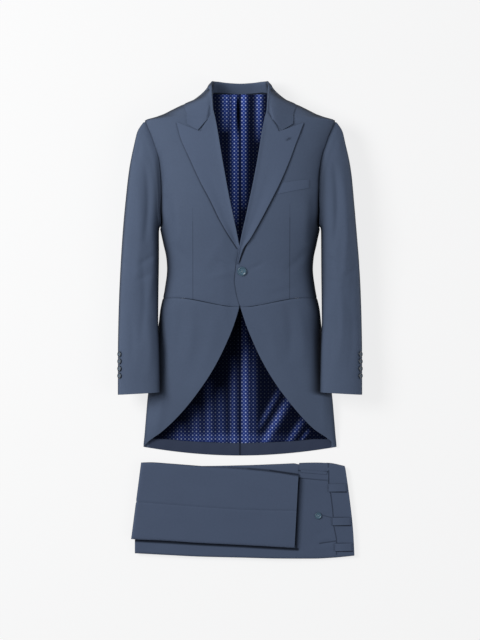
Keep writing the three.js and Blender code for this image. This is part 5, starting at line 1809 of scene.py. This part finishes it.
def on_front(hand: int, spots: Array, out: float) -> Array:
    """Points over the front of one side, from rows of distance from the centre line and height."""
    x, y = spots[:, 0], spots[:, 1]
    return FORM.place(hand, FORM.front_tau(x, y), y, out + x * 0)


@dataclass
class Stitching:
    """The lapel's worked buttonhole, the felled top of the linings and the bar tacks of the belt loops."""

    thread: SewingThread = SewingThread(name="polyester_thread_navy", colour="#46536c")
    hole: tuple[Pair, Pair] = ((114, 449), (124.5, 455.5))

    def dress(self) -> None:
        """Builds and dresses the rows of stitches."""
        material = self.thread.build()
        t = np.linspace(0, 1, 24)[:, None]
        start, end = (np.array([spot]) for spot in self.hole)
        across = np.array([[-0.55, 0.83]])
        line, out = start + (end - start) * t, 2 * CLOTH + 1.9
        sides = tuple(on_front(1, line + across * k, out) for k in (-0.8, 0.8))
        StitchRow("lapel_buttonhole_stitches", sides, 1.1, 1.9, 0.7, np.pi / 2).dress(material)
        x = np.linspace(-186, 186, 150)
        rise = 2 * LINING + CLOTH + SEAM_GAP - 0.7
        felled = np.stack((x, facing_top(np.abs(x)), x * 0 + rise), -1)
        StitchRow("lining_felling_stitches", (felled,), 3.2, 1.7, 0.5, 0.5).dress(material)
        top = band_top() + SEAM_GAP + 1.9
        bars = []
        for y in Trousers.loops:
            for x_end in (float(BAND_INNER(y)) - 3.2, float(BAND_OUTER(y)) - 5.5):
                rows = np.linspace(y - 8, y + 8, 12)
                bars.append(np.stack((rows * 0 + x_end, rows, rows * 0 + top), -1))
        StitchRow("belt_loop_bar_tacks", tuple(bars), 0.9, 2.2, 0.6, np.pi / 2).dress(material)


# Folded trousers

LEG_TOP = 15.0
WAIST_TOP = 11.0
TURNED_TOP = 28.0
EDGE_ROUND = 7.0
BAND = 3.0
SEAM_FROM_X = 151.5
OUTLINE_X = (-270, -187, -107, 13, 93, 192, 228, 268, 292)
OUTLINE_TOP = Curve(OUTLINE_X, (-372, -369, -374, -372, -369, -365.5, -367, -375, -381))
OUTLINE_BOTTOM = Curve(OUTLINE_X, (-597.5, -602, -606, -609, -611, -611.5, -610, -606.5, -604))
TOP_LEG_X = (-278, -254, -200, -107, 5, 76.5, 144)
TOP_LEG_TOP = Curve(TOP_LEG_X, (-364.5, -363.8, -367, -374, -381, -388, -398.5))
TOP_LEG_SEAM = Curve(TOP_LEG_X, (-465, -466, -470, -477, -484, -486, -487))
TOP_LEG_BOTTOM = Curve(TOP_LEG_X, (-560, -562, -564, -570, -575.5, -579.5, -583))
TURN_LOW = (-278.0, -560.0)  # ends of the slanting fold at the knee
TURN_HIGH = (-252.5, -364.0)
TURN_INSET = 7.0
TURN_SLOPE = (TURN_HIGH[0] - TURN_LOW[0]) / (TURN_HIGH[1] - TURN_LOW[1])
BAND_INNER = Curve((-604, -568, -524, -441, -369), (243.5, 246, 240, 230, 226))
BAND_OUTER = Curve((-604, -545, -505, -425, -375), (292, 289, 285.5, 275.5, 268))
BAND_SEAM = ((227, -386), (227, -434), (232, -444.5), (237, -485), (239.7, -526), (247, -562), (247, -600))
# Seams, pocket edge and darts of the trousers, and painted shade: the shadow under and along the turned-back
# leg, at its hem end, beside the belt loops and in a crease
LEG_LINES = (
    *chain(BAND_SEAM, 1.5, (0.7, 0.6)),
    *chain(((150, -385.5), (178.5, -389.6), (225, -388.4)), 1.6, (0.75, 0.75)),
    Line((225.7, -366), (225.7, -377), 1.4, 0.6),
    *chain(((-30, -377.5), (20, -380.5), (76, -385.5), (148, -396)), 2.4, (0.3, 0.85)),
    *chain(
        ((-282, -563.5), (-200, -568), (-107, -573.5), (5, -579), (76, -583), (147, -587)), 3.6, (0.9, 0.9)
    ),
    *chain(((153, -405), (190, -407.5), (230, -409.5)), 1.1, (0.3, 0.2)),
    Line((213, -500.5), (236, -506.5), 1.3, 0.45),
    Line((204, -572), (247, -565.6), 1.7, 0.55),
    Line((151.5, -398), (143.5, -586), 2.6, 0.75),
    Line((235, -440.6), (273, -441.5), 1.3, 0.75),
    Line((239, -505), (282, -505.5), 1.0, 0.45),
    Line((240, -526.6), (284, -527), 1.4, 0.75),
    Line((246, -571.6), (288, -571.8), 1.2, 0.6),
    Line((246, -592.6), (289, -593), 1.4, 0.7),
)


def turn_edge(y: Array) -> Array:
    """Distance along the leg of the slanting fold at height y."""
    return TURN_LOW[0] + (y - TURN_LOW[1]) * TURN_SLOPE


def turn_limit(x: Array, inset: float) -> Array:
    """The height at which hidden layers end before the slanting fold."""
    return TURN_LOW[1] + (x - inset - TURN_LOW[0]) / TURN_SLOPE


def leg_top(x: Array | float) -> Array:
    """Height of the lower leg's outer face, which sinks towards the waist."""
    return lerp(LEG_TOP, WAIST_TOP, smooth(120, 240, x)) + SEAM_GAP + CLOTH


def band_top() -> float:
    """Height of the waistband's outer face."""
    return float(leg_top(260)) + 0.6


def side_seam(x: Array) -> Array:
    """The lower leg's side seam, where it comes out from under the turned-back hem."""
    return lerp(-405, -415, (x - 152) / (245 - 152))


def crease(distance: Array, radius: float = EDGE_ROUND) -> Array:
    """Drop of a rounded fold at a distance from its edge."""
    t = np.clip(distance / radius, 0, 1)
    return radius * (1 - np.sqrt(np.clip(1 - (1 - t) ** 2, 0, 1)))


TROUSER_FOLDS = rows_of(
    Fold,
    (198, -576, 250, -565, -1.8, 4), (206, -496, 240, -506, -1.2, 2.6), (206, -488, 238, -492, 0.5, 6),
    (170, -590, 240, -584, 0.8, 8), (166, -440, 230, -452, -0.5, 14), (176, -560, 236, -540, -0.7, 12),
    (-240, -420, -40, -430, -0.6, 16), (-120, -536, 120, -530, -0.6, 18), (-40, -410, 130, -432, 0.6, 16),
    (-262, -520, -120, -505, 0.7, 16), (-200, -384, 20, -396, 0.5, 9), (-230, -588, 0, -590, 0.5, 9),
)
CREASE_ROWS = (0.05, 0.3, 0.8, 1.6, 2.8, 4.5, 6.5)


@dataclass
class TrouserPanel(ClothPiece):
    """A panel of the folded trousers, as a sheet over x and y."""

    spot: Surface = lambda u, v: u
    step: float = 4.2
    close: tuple[float, ...] = CREASE_ROWS
    held: Held = Held.FOLDED
    seam_edges: tuple[bool, bool] = (False, False)  # low and high edge of v are sewn
    seam_depth: float = 0.9
    seam_width: float = 2.4
    middle_width: float = 90.0

    def surface(self, u: Array, v: Array, out: float) -> Array:
        """The panel's face, moved out along its normal."""
        step = 0.0004
        iu, iv = np.clip(u, 2 * step, 1 - 2 * step), np.clip(v, 2 * step, 1 - 2 * step)
        along = self.spot(iu + step, iv) - self.spot(iu - step, iv)
        across = self.spot(iu, iv + step) - self.spot(iu, iv - step)
        normal = unit(np.cross(along, across))
        normal *= np.where(normal[..., 2:] < 0, -1, 1)
        base = self.spot(u, v)
        rise = folded(TROUSER_FOLDS, base[..., 0], base[..., 1]) * smooth(0, 0.04, u) * smooth(0, 0.04, 1 - u)
        for sewn, share in zip(self.seam_edges, (v, 1 - v)):
            if sewn:
                rise = rise - self.seam_depth * bell(share * self.middle_width, self.seam_width)
        return grounded(base + normal * (out + rise)[..., None], 0.0)


def stacked(x: Array, y: Array, z: Array) -> Array:
    """Points from three grids of coordinates."""
    return np.stack(np.broadcast_arrays(x, y, z), -1)


def towards_band(u: Array, y: Array) -> Array:
    """Distance along the leg at a share u from the hem to the waistband."""
    return lerp(SEAM_FROM_X, BAND_INNER(y) - SEAM_GAP, u)


def left_back_spot(u: Array, v: Array) -> Array:
    """The back panel of the wearer's left leg, which shows below and beside the other leg."""
    start, end = -269.0, 246.0
    x = lerp(start, end, u)
    rise = smooth(141, SEAM_FROM_X, x)
    y = lerp(OUTLINE_BOTTOM(x), lerp(TOP_LEG_BOTTOM(x) - 0.6, side_seam(x) - SEAM_GAP, rise), v)
    beside = x > SEAM_FROM_X
    near = towards_band((x - SEAM_FROM_X) / (end - SEAM_FROM_X), y)
    x = np.where(beside, near, x)
    y = np.where(beside, lerp(OUTLINE_BOTTOM(x), side_seam(x) - SEAM_GAP, v), y)
    ends = crease(y - OUTLINE_BOTTOM(x)) + crease((x - start) * 2) * 0.6
    return stacked(x, y, leg_top(x) - np.minimum(ends, EDGE_ROUND))


def left_front_spot(u: Array, v: Array) -> Array:
    """The front panel of the wearer's left leg, above its side seam."""
    near = lerp(SEAM_FROM_X, 228.0, u)
    y = lerp(side_seam(near) + SEAM_GAP, OUTLINE_TOP(near), v)
    x = towards_band(u, y)
    y = lerp(side_seam(x) + SEAM_GAP, OUTLINE_TOP(x), v)
    return stacked(x, y, leg_top(x) - crease(OUTLINE_TOP(x) - y))


def right_leg_spot(upper: bool) -> Surface:
    """One panel of the wearer's right leg, turned back over the other."""

    def spot(u: Array, v: Array) -> Array:
        """A point of the panel."""
        x = lerp(-278.0, 144.0, u)
        seam = TOP_LEG_SEAM(x) + (SEAM_GAP / 2 if upper else -SEAM_GAP / 2)
        outer = TOP_LEG_TOP(x) if upper else TOP_LEG_BOTTOM(x)
        y = lerp(outer, seam, v)
        lean = smooth(60, 144, x) * 0.055 * (y - TOP_LEG_SEAM(x))
        drop = np.maximum(crease(np.abs(y - outer)), crease(x + 278))
        turned = (1 - u) * (turn_edge(y) - TURN_LOW[0])
        return stacked(x + lean + turned, y, TURNED_TOP + SEAM_GAP + CLOTH - drop)

    return spot


def waistband_spot(under: bool) -> Surface:
    """The waistband's outer part, or the part that lies under it."""

    def spot(u: Array, v: Array) -> Array:
        """A point of the band."""
        inner = 222.0 + SEAM_GAP if under else BAND_INNER(lerp(-604.0, -369.0, v))
        x = lerp(inner, BAND_OUTER(lerp(-604.0, -375.0, v)), u)
        low, high = OUTLINE_BOTTOM(x), OUTLINE_TOP(x)
        y = lerp(low, high, v)
        drop = 0 if under else np.maximum(crease(high - y), crease(y - low)) * 0.8
        height = BAND if under else band_top()
        return stacked(x, y, height - drop)

    return spot


def strip_spot(
    start: Pair, end: Pair, width: float, height: Surface
) -> Surface:
    """A strip along a straight line on the trousers.

    Args:
        start, end: ends of its middle line.
        width: its width.
        height: its face's height, from x and the share along the strip.

    Returns:
        The strip's surface.
    """
    along = np.array([end[0] - start[0], end[1] - start[1]])
    across = np.array([-along[1], along[0]]) / np.linalg.norm(along) * width

    def spot(u: Array, v: Array) -> Array:
        """A point of the strip."""
        x = lerp(start[0], end[0], u) + across[0] * (v - 0.5)
        y = lerp(start[1], end[1], u) + across[1] * (v - 0.5)
        return stacked(x, y, height(x, u))

    return spot


@dataclass
class FoldedSlab(ClothPiece):
    """One folded layer of cloth inside the pile, rounded at its edges."""

    x_ends: Pair = (-268, 222)
    low_edge: Profile = lambda x: OUTLINE_BOTTOM(x) + 3.8
    high_edge: Profile = lambda x: np.minimum(
        OUTLINE_TOP(x) - lerp(0.8, 3.8, smooth(138, 150, x)), turn_limit(x, TURN_INSET)
    )
    heights: Callable[[Array], tuple[Array, Array]] = lambda x: (x * 0, x * 0 + 6)
    lean: float = 0.0
    least_half: float = 0.3  # half the thickness that is left at its edges
    held: Held = Held.FOLDED
    close: tuple[float, ...] = (0.4, 1.1, 2.2, 3.6)

    def surface(self, u: Array, v: Array, out: float) -> Array:
        """The upper face where out is 0, else the lower face."""
        x = lerp(*self.x_ends, u)
        low, high = self.low_edge(x), self.high_edge(x)
        y = lerp(low, high, v)
        bottom, top = self.heights(x)
        half = (top - bottom) / 2
        near = np.minimum.reduce((x - self.x_ends[0], y - low, high - y))
        if self.lean == 0:
            near = np.minimum(near, self.x_ends[1] - x)
        drop = np.minimum(crease(near, half), half - self.least_half)
        z = top - drop if out >= 0 else bottom + drop
        return stacked(x + self.lean * (y - (low + high) / 2) * u**3, y, z)


@dataclass
class Trousers:
    """The folded trousers."""

    worsted: WorstedWool = WorstedWool(name="wool_worsted_trousers", colour="#596781", deep="#515e76")
    # Carries the seams and the painted shade of LEG_LINES
    sewn: WorstedWool = WorstedWool(
        name="wool_worsted_trousers_seamed", colour="#596781", deep="#515e76", lines=LEG_LINES
    )
    loops: tuple[float, ...] = (-430, -516, -582)
    loop_width: float = 19
    layer_share: float = 0.97  # of the pitch of the layers that cloth fills
    layer_gap: float = 0.1
    pile_room: float = 1.5  # left over the lower pile
    turned_foot: float = 13.9  # where the turned-back pile starts
    turned_pitch: float = 7.05

    def slabs(self) -> list[FoldedSlab]:
        """The hidden layers: two under the lower leg and two under the turned-back one."""

        def lower(i: int) -> Callable[[Array], tuple[Array, Array]]:
            """Heights of layer i of the lower pile."""
            share = (i, i + self.layer_share)
            room = CLOTH + SEAM_GAP + self.pile_room
            return lambda x: tuple((leg_top(x) - room) / 2 * k + self.layer_gap * k for k in share)

        def upper(i: int) -> Callable[[Array], tuple[Array, Array]]:
            """Heights of layer i of the turned-back pile."""
            low, high = (self.turned_foot + self.turned_pitch * k for k in (i, i + self.layer_share))
            return lambda x: (low + x * 0, high + x * 0)

        made = []
        for i in range(2):
            name = f"folded_layer_{i + 1}_cloth"
            made.append(FoldedSlab("folded_layers", name, step=7, wall=1, heights=lower(i), roll=0.3))
        for i in range(2):
            name = f"turned_layer_{i + 1}_cloth"
            made.append(
                FoldedSlab(
                    "turned_layers", name, step=7, wall=1, heights=upper(i), roll=0.3,
                    x_ends=(-270, 139.5 + 3.5 * (1 - i)), lean=0.05, rests_on=("folded_layers",),
                    low_edge=lambda x: TOP_LEG_BOTTOM(x) + 3,
                    high_edge=lambda x: np.minimum(TOP_LEG_TOP(x) - 3, turn_limit(x, TURN_INSET)),
                )
            )
        return made

    def panels(self) -> list[TrouserPanel]:
        """The pieces that show."""
        bed = band_top() + SEAM_GAP
        below, above = (True, False), (False, True)
        pile, turned = ("folded_layers",), ("turned_layers",)
        pocket = strip_spot((155, -386.5), (222, -392), 7, lambda x, u: leg_top(x) + SEAM_GAP + 1.2)
        made = [
            TrouserPanel("left_leg_back", spot=left_back_spot, seam_edges=above, rests_on=pile),
            TrouserPanel("left_leg_front", spot=left_front_spot, seam_edges=below, rests_on=pile),
            TrouserPanel("right_leg_front", spot=right_leg_spot(True), seam_edges=above, rests_on=turned),
            TrouserPanel("right_leg_back", spot=right_leg_spot(False), seam_edges=above, rests_on=turned),
            TrouserPanel(
                "waistband", wall=BAND, spot=waistband_spot(False), roll=0.3, rests_on=("waistband_under",)
            ),
            TrouserPanel("waistband_under", step=8, wall=BAND, spot=waistband_spot(True)),
            TrouserPanel(
                "side_pocket_edge", step=2, wall=1.2, roll=0.3, spot=pocket, rests_on=("left_leg_front",)
            ),
        ]

        def arch(x: Array, u: Array) -> Array:
            """Height of a belt loop, which stands up in its middle."""
            return bed + 1.5 + 2.2 * np.sin(np.pi * np.clip(u, 0, 1))

        for i, y in enumerate(self.loops):
            start, end = (float(BAND_INNER(y)) - 5, y), (float(BAND_OUTER(y)) - 3, y + 1)
            spot = strip_spot(start, end, self.loop_width, arch)
            made.append(
                TrouserPanel(
                    f"belt_loop_{i + 1}", step=1.5, wall=1.5, roll=0.3, spot=spot, rests_on=("waistband",)
                )
            )
        return made

    def dress(self) -> None:
        """Builds and dresses the trousers."""
        plain, sewn = self.worsted.build(), self.sewn.build()
        for piece in [*self.slabs(), *self.panels()]:
            lined = piece.node.startswith("left_leg") or piece.node in ("waistband", "folded_layers")
            piece.dress(piece.build(), sewn if lined else plain)


# Studio


@dataclass
class Studio:
    """A pale table under one large soft light from the upper left and a weak fill."""

    camera_height: float = 6.15
    lens: float = 135.0
    floor_size: float = 16.0
    floor_glow: float = 0.77
    key_place: Triple = (-2.3, 1.0, 2.7)
    key_size: float = 1.5
    key_watts: float = 71.0
    fill_place: Triple = (2.2, -0.6, 3.0)
    fill_size: float = 2.4
    fill_watts: float = 15.0
    sky: float = 0.22

    def build(self) -> None:
        """Makes floor, lights, world and camera."""
        self.floor()
        self.lamp("key_softbox", self.key_place, self.key_size, self.key_watts)
        self.lamp("fill_softbox", self.fill_place, self.fill_size, self.fill_watts)
        scene = bpy.context.scene
        world = bpy.data.worlds.new("studio_walls")
        world.use_nodes = True
        background = world.node_tree.nodes["Background"]
        background.inputs[0].default_value = linear("#f4f6fb")
        background.inputs[1].default_value = self.sky
        scene.world = world
        scene.view_settings.view_transform = "Standard"
        data = bpy.data.cameras.new("camera")
        data.lens, data.sensor_width = self.lens, 36.0
        data.clip_end = 60.0
        camera = bpy.data.objects.new("camera", data)
        camera.location = (0, -0.0008, self.camera_height)
        scene.collection.objects.link(camera)
        scene.camera = camera

    def floor(self) -> None:
        """A table top of opal acrylic, lit a little from below, so that shadows on it stay weak."""
        corners = np.array([(-1, -1, 0), (1, -1, 0), (1, 1, 0), (-1, 1, 0)]) * self.floor_size / 2 / MM
        mesh = plain_mesh("table_top", corners, [(0, 1, 2, 3)])
        floor = link("table_top", mesh)
        floor.location.z = -0.0006
        made, tree = start_material("opal_acrylic_table")
        skin = {"Base Color": linear("#898989"), "Roughness": 0.9, "Specular IOR Level": 0.1}
        skin |= {"Emission Color": linear("#ffffff"), "Emission Strength": self.floor_glow}
        finish_material(tree, skin)
        mesh.materials.append(made)

    def lamp(self, name: str, place: Triple, size: float, watts: float) -> None:
        """A square softbox aimed at the suit."""
        data = bpy.data.lights.new(name, "AREA")
        data.shape, data.size, data.energy = "SQUARE", size, watts
        lamp = bpy.data.objects.new(name, data)
        lamp.location = place
        lamp.rotation_mode = "QUATERNION"
        lamp.rotation_quaternion = Vector(place).to_track_quat("Z", "Y")
        bpy.context.scene.collection.objects.link(lamp)


def main() -> None:
    """Builds and dresses the suit and sets the studio."""
    logging.basicConfig(level=logging.INFO, format="%(name)s: %(message)s")
    CoatBody().dress()
    Revers().dress()
    Sleeves().dress()
    Linings().dress()
    Buttons().dress()
    Trousers().dress()
    Stitching().dress()
    Studio().build()


if __name__ == "__main__":
    main()
